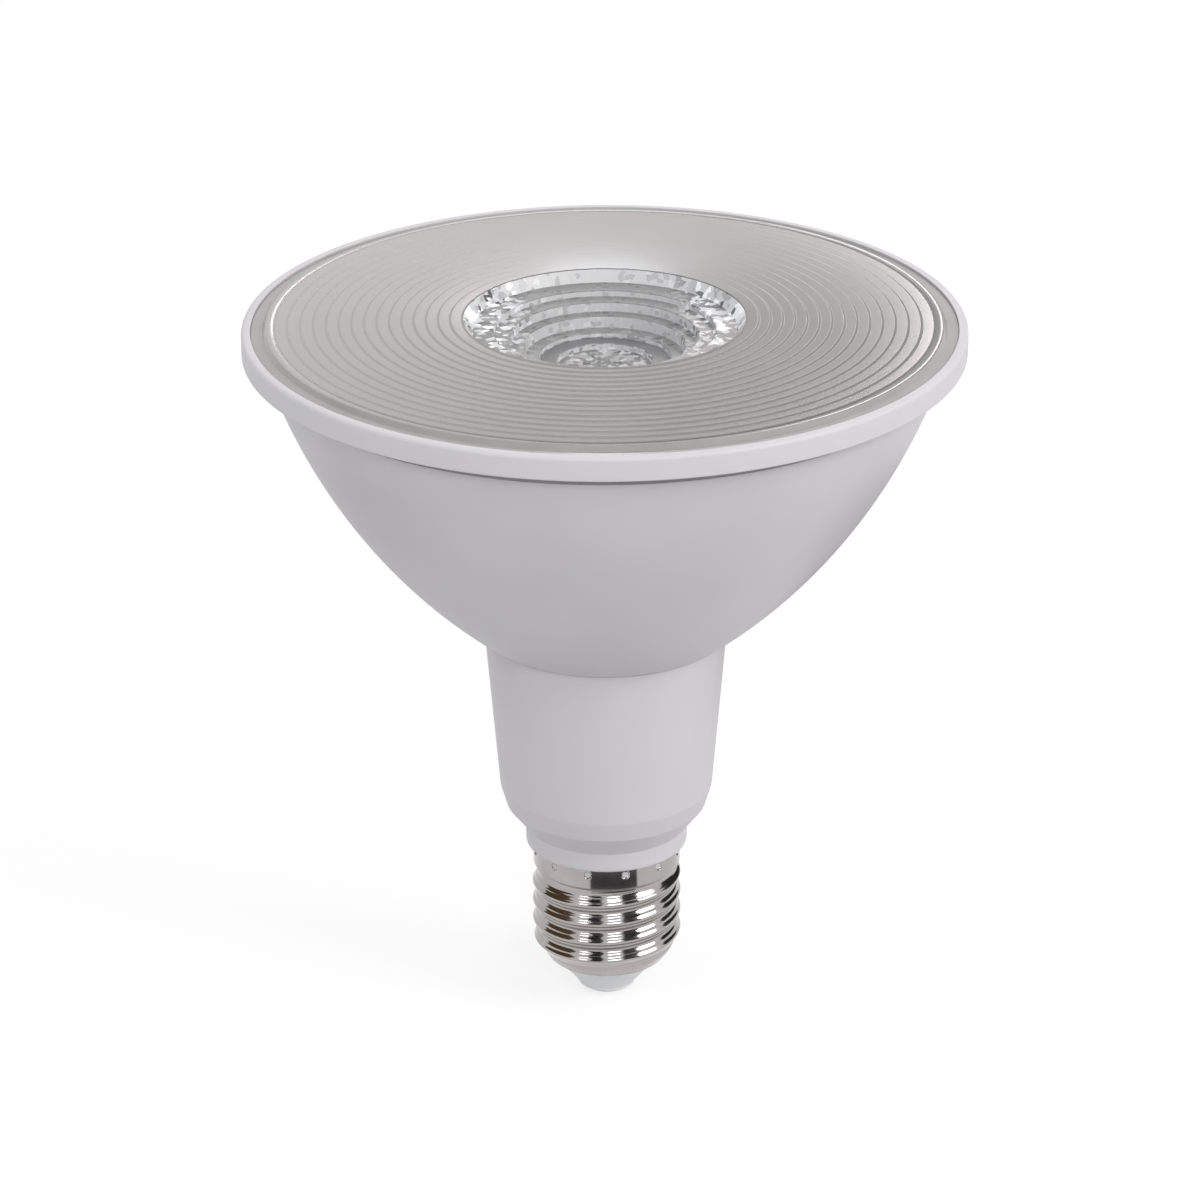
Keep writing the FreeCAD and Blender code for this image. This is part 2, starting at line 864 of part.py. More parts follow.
def make_optic_holder():
    foot, flank, top = optic_flank()
    centre, curve = circle_through(foot, flank, top)

    def bore(height):
        # The collimator's wall bulges away from the centre of its curve
        side = math.sqrt(curve**2 - (height - centre[1]) ** 2)
        return centre[0] + math.copysign(side, foot[0] - centre[0]) + holder_clearance

    head = led_board_top + holder_height
    foot_top = led_board_top + holder_foot_thickness
    clear = package_width / 2 * math.sqrt(2) + push_clearance
    return turned(
        (clear, led_board_top),
        (holder_foot_radius, led_board_top),
        (holder_foot_radius, foot_top),
        (bore(head) + holder_wall, foot_top),
        (bore(head) + holder_wall, head),
        (bore(head), head),
        (bore(optic_foot), optic_foot),
        (clear, optic_foot),
    )


def make_board_connector():
    """Two-pole connector on the light source board, which takes the leads from outside."""
    half_width, half_depth = connector_size[0] / 2, connector_size[1] / 2
    body = box(
        (-half_width, -connector_distance - half_depth, led_board_top),
        (half_width, -connector_distance + half_depth, led_board_top + connector_size[2]),
    )
    entry = -connector_distance - half_depth - cutter_reach
    holes = [
        rod((x, entry, lead_entry_height), lead_radius + push_clearance, half_depth + cutter_reach, (0, 1, 0))
        for x in (-led_lead_spacing / 2, led_lead_spacing / 2)
    ]
    return body.cut(holes)


def make_driver_board():
    tongue_top = pcb_bottom + tongue_length
    points = [
        (tongue_half_width, pcb_bottom),
        (tongue_half_width, tongue_top),
        (pcb_half_width, tongue_top + tongue_slope),
        (pcb_half_width, pcb_top),
    ]
    mirrored = [(-x, z) for x, z in reversed(points)]
    board = Part.Face(outline(*points, *mirrored)).extrude(Vector(0, pcb_thickness, 0))
    board.translate(Vector(0, pcb_back, 0))
    return board


def stand_on_board(shape, x, z):
    """Turn a shape that is modelled along +Z so that it stands on the front of the driver board."""
    shape.rotate(Vector(0, 0, 0), Vector(1, 0, 0), -90)
    shape.translate(Vector(x, pcb_front, z))
    return shape


def lying_can(place, radius, length):
    """A capacitor can that lies along the board, with the rolled groove near its lower end."""
    groove = can_groove
    can = turned(
        (0.0, 0.0),
        (radius - groove, 0.0),
        (radius, groove),
        (radius, 3 * groove),
        (radius - groove, 4 * groove),
        (radius, 5 * groove),
        (radius, length - groove),
        (radius - groove, length),
        (0.0, length),
    )
    can.translate(Vector(place[0], pcb_front + radius, pcb_bottom + place[1]))
    return can


def make_bulk_capacitor():
    return lying_can(bulk_place, bulk_radius, bulk_length)


def make_output_capacitor():
    return lying_can(output_place, output_radius, output_length)


def make_fuse_resistor():
    body = turned(
        (0.0, 0.0),
        (fuse_radius - fuse_round, 0.0),
        (fuse_radius, fuse_round),
        (fuse_radius, fuse_length - fuse_round),
        (fuse_radius - fuse_round, fuse_length),
        (0.0, fuse_length),
    )
    body.translate(Vector(fuse_place[0], pcb_front + fuse_radius, pcb_bottom + fuse_place[1]))
    return body


def make_surge_varistor():
    flat = varistor_radius - varistor_bulge
    disc = turned(
        (0.0, 0.0),
        (flat, 0.0),
        ((varistor_radius, varistor_thickness / 2), (flat, varistor_thickness)),
        (0.0, varistor_thickness),
    )
    return stand_on_board(disc, varistor_place[0], pcb_bottom + varistor_place[1])


def make_filter_capacitor():
    half_width, depth, half_height = filter_size[0] / 2, filter_size[1], filter_size[2] / 2
    x, z = filter_place[0], pcb_top - filter_place[1]
    block = box(
        (x - half_width, pcb_front, z - half_height),
        (x + half_width, pcb_front + depth, z + half_height),
    )
    return block.makeFillet(filter_round, [e for e in block.Edges if e.BoundBox.YLength > depth / 2])


def make_input_choke_core():
    drum = turned(
        (0.0, 0.0),
        (choke_radius, 0.0),
        (choke_radius, choke_flange),
        (choke_waist, choke_flange),
        (choke_waist, choke_height - choke_flange),
        (choke_radius, choke_height - choke_flange),
        (choke_radius, choke_height),
        (0.0, choke_height),
    )
    return stand_on_board(drum, choke_place[0], pcb_top - choke_place[1])


def make_input_choke_winding():
    inner = choke_waist + glue_clearance
    outer = choke_radius - choke_coil_margin
    low = choke_flange + glue_clearance
    high = choke_height - low
    coil = turned((inner, low), (outer, low), (outer, high), (inner, high))
    return stand_on_board(coil, choke_place[0], pcb_top - choke_place[1])


def core_block(x_low, x_high, low, high):
    """A block of the transformer's core, at its full depth."""
    return box((x_low, core_y - core_depth / 2, low), (x_high, core_y + core_depth / 2, high))


def core_half(low, high, back_low, back_high):
    """One E of the core: a back and three legs. The middle leg goes through the bobbin."""
    half = core_width / 2
    back = core_block(-half, half, back_low, back_high)
    legs = [
        core_block(-half, core_leg - half, low, high),
        core_block(-core_centre_leg / 2, core_centre_leg / 2, low, high),
        core_block(half - core_leg, half, low, high),
    ]
    return back.fuse(legs).removeSplitter()


def make_transformer_core_lower():
    low = core_middle - core_half_height
    return core_half(low, core_middle, low, low + core_back)


def make_transformer_core_upper():
    high = core_middle + core_half_height
    return core_half(core_middle, high, high - core_back, high)


def leg_tube(gap, wall, low, high):
    """A rectangular tube around the transformer's middle leg, a gap away from it."""
    x = core_centre_leg / 2 + gap
    y = core_depth / 2 + gap
    outer = box((-x - wall, core_y - y - wall, low), (x + wall, core_y + y + wall, high))
    return outer.cut(box((-x, core_y - y, low), (x, core_y + y, high)))


def make_transformer_bobbin():
    reach = core_half_height - core_back - glue_clearance
    low, high = core_middle - reach, core_middle + reach
    half_x = core_width / 2 - core_leg - glue_clearance
    hole_x = core_centre_leg / 2 + glue_clearance
    hole_y = core_depth / 2 + glue_clearance
    pieces = []
    for z in (low, high - bobbin_wall):
        flange = box((-half_x, pcb_front, z), (half_x, 2 * core_y - pcb_front, z + bobbin_wall))
        hole = box((-hole_x, core_y - hole_y, z), (hole_x, core_y + hole_y, z + bobbin_wall))
        pieces.append(flange.cut(hole))
    return leg_tube(glue_clearance, bobbin_wall, low, high).fuse(pieces).removeSplitter()


def make_transformer_winding():
    gap = bobbin_wall + 2 * glue_clearance
    reach = core_half_height - core_back - gap
    coil = leg_tube(gap, winding_build, core_middle - reach, core_middle + reach)
    middle_x = core_centre_leg / 2 + gap + winding_build / 2
    corners = [e for e in coil.Edges if e.BoundBox.ZLength > reach and abs(e.BoundBox.Center.x) > middle_x]
    return coil.makeFillet(winding_round, corners)


def behind_board(size, place):
    """A block on the back of the driver board, with its centre at a place on the board."""
    width, height, thickness = size
    x, z = place[0], pcb_bottom + place[1]
    return box(
        (x - width / 2, pcb_back - thickness, z - height / 2),
        (x + width / 2, pcb_back, z + height / 2),
    )


def make_bridge_rectifier():
    x, z = bridge_place
    reach = (bridge_size[1] + bridge_foot[1]) / 2
    feet = [
        behind_board(bridge_foot, (x + side * bridge_foot_pitch / 2, z + end * reach))
        for side in (-1, 1)
        for end in (-1, 1)
    ]
    return behind_board(bridge_size, bridge_place).fuse(feet)


def make_driver_chip():
    x, z = chip_place
    first = x - (chip_feet_a_side - 1) * chip_foot_pitch / 2
    reach = (chip_size[1] + chip_foot[1]) / 2
    feet = [
        behind_board(chip_foot, (first + i * chip_foot_pitch, z + end * reach))
        for i in range(chip_feet_a_side)
        for end in (-1, 1)
    ]
    return behind_board(chip_size, chip_place).fuse(feet)


def make_output_diode():
    x, z = diode_place
    feet = [
        behind_board(diode_foot, (x + side * (diode_size[0] + diode_foot[0]) / 2, z))
        for side in (-1, 1)
    ]
    return behind_board(diode_size, diode_place).fuse(feet)


def make_chip_resistors():
    return Part.makeCompound([behind_board(resistor_size, place) for place in resistor_places])


def make_chip_capacitors():
    return Part.makeCompound([behind_board(ceramic_size, place) for place in ceramic_places])


def make_live_lead():
    """From the front of the driver board's tongue down to the centre contact's pin."""
    y = pcb_front + lead_radius
    return lead(
        [
            (live_x, y, pcb_bottom + live_lap),
            (live_x, y, pcb_bottom - live_drop),
            (0.0, 0.0, contact_pin_top + live_knee),
            (0.0, 0.0, contact_pin_top),
        ],
        lead_bend,
    )


def make_neutral_lead():
    """From the driver board's tongue down, and out through the spigot's notch to the shell."""
    end = math.sqrt(spigot_radius**2 - (abs(neutral_y) + lead_radius) ** 2)
    return lead(
        [
            (neutral_x, neutral_y, pcb_bottom + neutral_lap),
            (neutral_x, neutral_y, neutral_height),
            (-end, neutral_y, neutral_height),
        ],
        lead_bend,
    )


def led_lead(side):
    """From the back of the driver board, out between two fins, up through the platform to the connector."""
    x = side * led_lead_spacing / 2
    y = pcb_back - lead_radius
    entry = led_lead_insert - connector_distance - connector_size[1] / 2
    return lead(
        [
            (x, y, pcb_top - led_lead_lap),
            (x, y, pcb_top + led_lead_rise),
            (x, -lead_hole_distance, pcb_top + led_lead_rise),
            (x, -lead_hole_distance, lead_entry_height),
            (x, entry, lead_entry_height),
        ],
        led_lead_bend,
    )


def make_led_lead_positive():
    return led_lead(1)


def make_led_lead_negative():
    return led_lead(-1)


makers = (
    make_front_ring,
    make_front_lens,
    make_lens_gasket,
    make_bowl_housing,
    make_neck_housing,
    make_screw_shell,
    make_cap_insulator,
    make_centre_contact,
    make_heat_sink,
    make_thermal_pad,
    make_led_board,
    make_board_screws,
    make_led_package,
    make_led_phosphor,
    make_optic_holder,
    make_board_connector,
    make_driver_board,
    make_fuse_resistor,
    make_surge_varistor,
    make_bulk_capacitor,
    make_output_capacitor,
    make_filter_capacitor,
    make_input_choke_core,
    make_input_choke_winding,
    make_transformer_core_lower,
    make_transformer_core_upper,
    make_transformer_bobbin,
    make_transformer_winding,
    make_bridge_rectifier,
    make_driver_chip,
    make_output_diode,
    make_chip_resistors,
    make_chip_capacitors,
    make_live_lead,
    make_neutral_lead,
    make_led_lead_positive,
    make_led_lead_negative,
)

os.makedirs("parts", exist_ok=True)
for maker in makers:
    node = maker.__name__.replace("make_", "", 1)
    maker().exportStep(f"parts/{node}.step")
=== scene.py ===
import json
import math

import bpy
import numpy as np
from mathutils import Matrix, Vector


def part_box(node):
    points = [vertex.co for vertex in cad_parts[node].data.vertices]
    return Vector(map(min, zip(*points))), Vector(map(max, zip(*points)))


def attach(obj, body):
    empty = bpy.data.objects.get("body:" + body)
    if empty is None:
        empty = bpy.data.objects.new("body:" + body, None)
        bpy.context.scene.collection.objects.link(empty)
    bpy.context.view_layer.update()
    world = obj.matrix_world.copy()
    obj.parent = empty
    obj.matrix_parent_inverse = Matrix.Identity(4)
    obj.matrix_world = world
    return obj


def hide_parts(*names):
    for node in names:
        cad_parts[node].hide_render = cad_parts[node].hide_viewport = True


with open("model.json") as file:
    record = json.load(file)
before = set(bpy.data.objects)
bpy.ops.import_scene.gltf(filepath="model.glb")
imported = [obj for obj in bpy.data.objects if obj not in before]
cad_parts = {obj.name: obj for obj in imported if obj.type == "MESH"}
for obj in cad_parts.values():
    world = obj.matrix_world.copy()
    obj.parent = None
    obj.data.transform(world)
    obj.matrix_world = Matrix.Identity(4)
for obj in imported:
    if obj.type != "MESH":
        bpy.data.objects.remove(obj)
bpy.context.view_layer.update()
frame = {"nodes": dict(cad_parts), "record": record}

MM = 0.001


def low(node):
    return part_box(node)[0] / MM


def high(node):
    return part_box(node)[1] / MM


# Sizes that the frame gives, in millimetres
rim_radius = high("front_ring").x
rim_top = high("front_ring").z
ring_bottom = low("front_ring").z
lens_face = high("front_lens").z
flange_radius = high("front_lens").x
optic_foot = low("front_lens").z
bowl_bottom = low("bowl_housing").z
seat_height = high("bowl_housing").z
neck_radius = high("neck_housing").x
spigot_bottom = low("neck_housing").z
socket_top = high("neck_housing").z
shell_foot = low("screw_shell").z
skirt_top = high("screw_shell").z
thread_crest = high("screw_shell").x

# Walls and edges, in millimetres
wall = 1.6
clearance = 0.15
ring_wall = 1.1
ring_lip_width = 1.55
ring_lip_thickness = 0.9
lens_thickness = 2.8
lens_skirt_width = 4.5
lip_bore = rim_radius - ring_lip_width
lip_underside = rim_top - ring_lip_thickness
lens_radius = lip_bore - clearance

# Meshes: parts of a turn, the angle that looks sharp, and the share of an edge that a rounding may take
segments = 320
sharp_angle = math.radians(38)
rounding_limit = 0.48


def rounded(points, steps=5):
    """A profile whose corners are rounded. Each point is (r, z) or (r, z, radius of its corner)."""
    made = []
    count = len(points)
    for i, point in enumerate(points):
        here = Vector(point[:2])
        radius = point[2] if len(point) > 2 else 0.0
        if not radius:
            made.append((here.x, here.y))
            continue
        back = Vector(points[i - 1][:2]) - here
        on = Vector(points[(i + 1) % count][:2]) - here
        turn = math.pi - back.angle(on)
        room = rounding_limit * min(back.length, on.length)
        reach = min(radius * math.tan(turn / 2), room)
        start = here + back.normalized() * reach
        end = here + on.normalized() * reach
        for k in range(steps + 1):
            t = k / steps
            spot = start * (1 - t) ** 2 + here * (2 * t * (1 - t)) + end * t**2
            made.append((spot.x, spot.y))
    return made


def lathe(name, profile, shape=None, count=segments):
    """A closed mesh turned about the axis from (r, z) points in millimetres.

    shape bends a ring of points. It is given the radii, heights and angles, and the index in the profile.
    """
    verts = []
    rings = []
    turn = np.arange(count) * 2 * math.pi / count
    for i, (r, z) in enumerate(profile):
        if r < 1e-6:
            rings.append([len(verts)] * count)
            verts.append((0.0, 0.0, z))
            continue
        radii = np.full(count, r)
        heights = np.full(count, z)
        if shape:
            radii, heights = shape(radii, heights, turn, i)
        rings.append(list(range(len(verts), len(verts) + count)))
        verts.extend(zip(radii * np.cos(turn), radii * np.sin(turn), heights))
    pairs = list(zip(rings, rings[1:]))
    if profile[0][0] > 1e-6 or profile[-1][0] > 1e-6:
        pairs.append((rings[-1], rings[0]))
    area = sum(a[0] * b[1] - b[0] * a[1] for a, b in zip(profile, profile[1:] + profile[:1]))
    faces = []
    for a, b in pairs:
        if area < 0:
            a, b = b, a
        for k in range(count):
            m = (k + 1) % count
            face = [a[k], a[m], b[m], b[k]]
            kept = [v for j, v in enumerate(face) if v != face[j - 1]]
            if len(kept) > 2:
                faces.append(kept)
    return solid(name, verts, faces)


def solid(name, verts, faces):
    """An object from points in millimetres, smooth between sharp edges."""
    mesh = bpy.data.meshes.new(name)
    mesh.from_pydata([(x * MM, y * MM, z * MM) for x, y, z in verts], [], faces)
    mesh.update()
    mesh.shade_smooth()
    mesh.set_sharp_from_angle(angle=sharp_angle)
    piece = bpy.data.objects.new(name, mesh)
    bpy.context.scene.collection.objects.link(piece)
    return piece


def arc(a, b, c, steps):
    """Points on the circle through three (r, z) points, from the first to the last."""
    ax, az = b[0] - a[0], b[1] - a[1]
    bx, bz = c[0] - a[0], c[1] - a[1]
    d = 2 * (ax * bz - az * bx)
    x = a[0] + (bz * (ax * ax + az * az) - az * (bx * bx + bz * bz)) / d
    z = a[1] + (ax * (bx * bx + bz * bz) - bx * (ax * ax + az * az)) / d
    radius = math.hypot(a[0] - x, a[1] - z)
    start = math.atan2(a[1] - z, a[0] - x)
    end = math.atan2(c[1] - z, c[0] - x)
    if end - start > math.pi:
        end -= 2 * math.pi
    if start - end > math.pi:
        end += 2 * math.pi
    angles = [start + (end - start) * k / steps for k in range(steps + 1)]
    return [(x + radius * math.cos(t), z + radius * math.sin(t)) for t in angles]


def add_material(piece, *materials):
    piece.data.materials.clear()
    for material in materials:
        piece.data.materials.append(material)
    return piece


def dress(piece, slot, *stood_for):
    """The piece rides on the lamp and stands for CAD nodes, which it hides. The slot is not used."""
    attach(piece, "root")
    if stood_for:
        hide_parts(*stood_for)
    return piece


class Shader:
    """A material's nodes, built one by one."""

    def __init__(self, name):
        self.material = bpy.data.materials.new(name)
        self.material.use_nodes = True
        self.tree = self.material.node_tree
        self.surface = self.tree.nodes["Principled BSDF"]
        self.place = self.tree.nodes.new("ShaderNodeTexCoord").outputs["Object"]

    def node(self, kind, inputs=(), **settings):
        made = self.tree.nodes.new(kind)
        for name, value in settings.items():
            setattr(made, name, value)
        for name, value in dict(inputs).items():
            if isinstance(value, bpy.types.NodeSocket):
                self.tree.links.new(value, made.inputs[name])
            else:
                made.inputs[name].default_value = value
        return made

    def set(self, **values):
        for name, value in values.items():
            socket = self.surface.inputs[name.replace("_", " ")]
            if isinstance(value, bpy.types.NodeSocket):
                self.tree.links.new(value, socket)
            else:
                socket.default_value = value

    def noise(self, size_mm, detail=3.0):
        """Noise with features of about a size, from 0 to 1."""
        made = self.node(
            "ShaderNodeTexNoise",
            {"Vector": self.place, "Scale": 1 / (size_mm * MM), "Detail": detail},
        )
        return made.outputs["Fac"]

    def cells(self, size_mm):
        """A value for each of many irregular cells of about a size, from 0 to 1."""
        made = self.node("ShaderNodeTexVoronoi", {"Vector": self.place, "Scale": 1 / (size_mm * MM)})
        return self.node("ShaderNodeSeparateColor", {"Color": made.outputs["Color"]}).outputs["Red"]

    def axes(self):
        """The place's X, Y and Z, in metres."""
        return self.node("ShaderNodeSeparateXYZ", {"Vector": self.place}).outputs

    def worked_out(self, operation, *values):
        """What an operation makes of the values."""
        return self.node("ShaderNodeMath", dict(enumerate(values)), operation=operation).outputs[0]

    def ramp(self, value, *stops, stepped=False):
        """Colours along a value, as (position, colour)."""
        made = self.node("ShaderNodeValToRGB", {"Fac": value})
        ramp = made.color_ramp
        ramp.interpolation = "CONSTANT" if stepped else "LINEAR"
        while len(ramp.elements) < len(stops):
            ramp.elements.new(0.5)
        for element, (position, colour) in zip(ramp.elements, stops):
            element.position = position
            element.color = (*colour, 1.0)
        return made.outputs["Color"]

    def mixed(self, share, first, second):
        """The first colour, giving way to the second as the share goes from 0 to 1."""
        factor, colour_a, colour_b, result = 0, 6, 7, 2
        inputs = {factor: share, colour_a: first, colour_b: second}
        return self.node("ShaderNodeMix", inputs, data_type="RGBA").outputs[result]

    def span(self, value, start, end):
        """The value's 0 to 1 as a range."""
        made = self.node("ShaderNodeMapRange", {"Value": value, "To Min": start, "To Max": end})
        return made.outputs["Result"]

    def growth(self, value, start, end, most=1.0):
        """From 0 where the value is at the start to the most where it is at the end."""
        made = self.node(
            "ShaderNodeMapRange",
            {"Value": value, "From Min": start, "From Max": end, "To Max": most},
        )
        return made.outputs["Result"]

    def bump(self, height, depth_mm, strength, under=None):
        """A relief, laid over another where that is given."""
        inputs = {"Height": height, "Distance": depth_mm * MM, "Strength": strength}
        if under:
            inputs["Normal"] = under
        return self.node("ShaderNodeBump", inputs).outputs["Normal"]


def grey(level):
    return (level, level, level)


def tinted(colour, factor):
    return tuple(c * factor for c in colour)


# Finishes: how far colour and roughness drift either way, and the refractive index of the lens
colour_spread = 0.08
roughness_spread = 0.15
acrylic_index = 1.49


def uneven(shader, value, roughness):
    """A roughness that drifts a little with a value."""
    return shader.span(value, roughness * (1 - roughness_spread), roughness * (1 + roughness_spread))


def plain_finish(name, colour, roughness, **values):
    """A finish whose colour and roughness drift a little, over a fine grain."""
    shader = Shader(name)
    drift = shader.noise(9.0)
    grain = shader.noise(0.4)
    dark, light = tinted(colour, 1 - colour_spread), tinted(colour, 1 + colour_spread)
    shader.set(
        Base_Color=shader.ramp(drift, (0.3, dark), (0.7, light)),
        Roughness=uneven(shader, grain, roughness),
        Normal=shader.bump(grain, 0.01, 0.5),
        **values,
    )
    return shader.material


def housing_material():
    """Satin white polycarbonate: a fine moulded grain over a very faint drift of tone."""
    shader = Shader("white_polycarbonate")
    drift = shader.noise(26.0, 2.0)
    cloud = shader.noise(4.0, 4.0)
    grain = shader.noise(0.22, 2.0)
    shader.set(
        Base_Color=shader.ramp(drift, (0.3, (0.548, 0.536, 0.558)), (0.7, (0.578, 0.564, 0.582))),
        Roughness=shader.span(grain, 0.42, 0.55),
        Specular_IOR_Level=0.45,
        Normal=shader.bump(cloud, 0.02, 0.3, shader.bump(grain, 0.006, 0.5)),
    )
    return shader.material


# Painted light and shade on the lens's grey: how it changes over a metre to the right and to the back, and
# the tint at the lighter left end and the darker right end
painted_grade_right = 8.0
painted_grade_back = -3.0
painted_light_left_end = 1.85
painted_shade_right_end = 0.22


def lens_material(name, dark, light, rough, transmission=0.0, coat=0.0, painted_shading=0.0):
    """Clear moulded acrylic, which shows the inside of the lamp as a grey.

    With painted shading it is painted lighter to the left and the back and darker to the right: painted
    light and shade.
    """
    shader = Shader(name)
    drift = shader.noise(14.0, 2.0)
    fine = shader.noise(0.6, 3.0)
    place = shader.axes()
    # Painted light and shade: a grade that makes the lens lighter to the left and the back and darker to
    # the right
    across = shader.worked_out("MULTIPLY_ADD", place["X"], painted_grade_right, 0.5)
    painted_grade = shader.worked_out("MULTIPLY_ADD", place["Y"], painted_grade_back, across)
    even = shader.ramp(drift, (0.35, dark), (0.65, light))
    painted_ends = tinted(light, painted_light_left_end), tinted(light, painted_shade_right_end)
    painted_slant = shader.ramp(painted_grade, (0.0, painted_ends[0]), (0.5, light), (1.0, painted_ends[1]))
    shader.set(
        Base_Color=shader.mixed(painted_shading, even, painted_slant),
        Roughness=uneven(shader, fine, rough),
        Transmission_Weight=transmission,
        IOR=acrylic_index,
        Coat_Weight=coat,
        Coat_Roughness=0.1,
        Normal=shader.bump(fine, 0.001, 0.3),
    )
    return shader.material


# Where the recess gets painted sparkle, in millimetres: from the middle to the sides, and below the face
sparkle_sides = (11, 18)
sparkle_depths = (6.8, 8.0)
sparkle_deep_share = 0.4


def cut_material(name, usual, cell_mm):
    """Clear acrylic with irregular light and dark cells of painted highlight and painted shade, most of
    them at the sides and deep down.
    """
    shader = Shader(name)
    cells = shader.cells(cell_mm)
    calm = shader.ramp(
        cells,
        (0.0, tinted(usual, 0.8)),
        (0.1, usual),
        (0.9, tinted(usual, 1.14)),
        stepped=True,
    )
    # Painted sparkle: near-black and near-white cells stand in for dark reflections and glints
    painted_sparkle = shader.ramp(
        cells,
        (0.0, (0.09, 0.09, 0.095)),
        (0.1, tinted(usual, 0.7)),
        (0.32, usual),
        (0.58, (0.62, 0.62, 0.635)),
        (0.84, (0.95, 0.96, 0.98)),
        stepped=True,
    )
    place = shader.axes()
    aside = shader.worked_out("ABSOLUTE", place["X"])
    side = shader.growth(aside, *(reach * MM for reach in sparkle_sides))
    levels = ((lens_face - depth) * MM for depth in sparkle_depths)
    deep = shader.growth(place["Z"], *levels, sparkle_deep_share)
    shader.set(
        Base_Color=shader.mixed(shader.worked_out("MAXIMUM", side, deep), calm, painted_sparkle),
        Roughness=shader.span(cells, 0.25, 0.4),
        Transmission_Weight=0.05,
        IOR=acrylic_index,
        Normal=shader.bump(cells, 0.02, 0.4),
    )
    return shader.material


def nickel_material():
    """Nickel plate, with a fine grain and a warm drift."""
    shader = Shader("nickel_plate")
    drift = shader.noise(5.0, 3.0)
    grain = shader.noise(0.3, 2.0)
    shader.set(
        Base_Color=shader.ramp(drift, (0.3, (0.385, 0.355, 0.345)), (0.7, (0.445, 0.418, 0.405))),
        Metallic=1.0,
        Roughness=shader.span(drift, 0.09, 0.15),
        Normal=shader.bump(grain, 0.001, 0.2),
    )
    return shader.material


def insulator_material():
    """Frosted pale thermoset."""
    shader = Shader("frosted_insulator")
    cloud = shader.noise(2.2, 4.0)
    grain = shader.noise(0.15, 2.0)
    shader.set(
        Base_Color=shader.ramp(cloud, (0.3, (0.74, 0.745, 0.76)), (0.7, (0.81, 0.815, 0.83))),
        Roughness=shader.span(grain, 0.35, 0.55),
        Subsurface_Weight=0.15,
        Subsurface_Radius=(0.002, 0.002, 0.002),
        Normal=shader.bump(grain, 0.012, 0.5),
    )
    return shader.material


def board_material():
    """Green solder mask with lighter copper runs under it."""
    shader = Shader("solder_mask")
    cells = shader.node(
        "ShaderNodeTexBrick",
        {"Vector": shader.place, "Scale": 130.0, "Mortar Size": 0.012, "Bias": 0.0},
    )
    weave = shader.noise(0.35, 2.0)
    mask = shader.ramp(cells.outputs["Fac"], (0.4, (0.02, 0.16, 0.07)), (0.6, (0.05, 0.28, 0.12)))
    shader.set(
        Base_Color=mask,
        Roughness=shader.span(weave, 0.3, 0.5),
        Normal=shader.bump(cells.outputs["Fac"], 0.03, 0.6),
    )
    return shader.material


def wound_material():
    """Enamelled copper wire, as turns side by side."""
    shader = Shader("enamelled_copper")
    turns = shader.node(
        "ShaderNodeTexWave",
        {"Vector": shader.place, "Scale": 480.0, "Distortion": 0.4},
        bands_direction="Y",
    )
    shader.set(
        Base_Color=shader.ramp(turns.outputs["Fac"], (0.2, (0.30, 0.11, 0.04)), (0.8, (0.72, 0.34, 0.14))),
        Metallic=0.8,
        Roughness=0.28,
        Normal=shader.bump(turns.outputs["Fac"], 0.15, 0.8),
    )
    return shader.material


white = housing_material()
nickel = nickel_material()
acrylics = {
    "face": lens_material(
        "acrylic_face", (0.182, 0.167, 0.163), (0.2, 0.184, 0.18), 0.21, coat=0.35, painted_shading=0.75
    ),
    # The steep falls of the ribs take a lighter copy of the face's grey, painted light that offsets their
    # shade, with the same painted light and shade left to right
    "fall": lens_material(
        "acrylic_fall", (0.27, 0.253, 0.247), (0.295, 0.278, 0.27), 0.45, painted_shading=0.6
    ),
    # Walls of the recess are a light copy and floors a dark copy of the same clear acrylic: painted light
    # and painted shade
    "riser": cut_material("acrylic_riser", (0.58, 0.58, 0.59), 0.95),
    "tread": cut_material("acrylic_tread", (0.25, 0.247, 0.25), 1.1),
    "margin": lens_material(
        "acrylic_margin", (0.29, 0.278, 0.274), (0.32, 0.308, 0.304), 0.2, transmission=0.05, coat=0.3
    ),
    # A dark copy of the acrylic: painted shade on one floor deep in the recess and on the chamfers at its
    # brow
    "depth": lens_material("acrylic_depth", (0.11, 0.11, 0.115), (0.16, 0.16, 0.165), 0.2, coat=0.2),
    # A near-white copy of the acrylic: a painted glint
    "glint": lens_material("acrylic_glint", (0.88, 0.89, 0.91), (0.95, 0.96, 0.97), 0.08, coat=1.0),
}

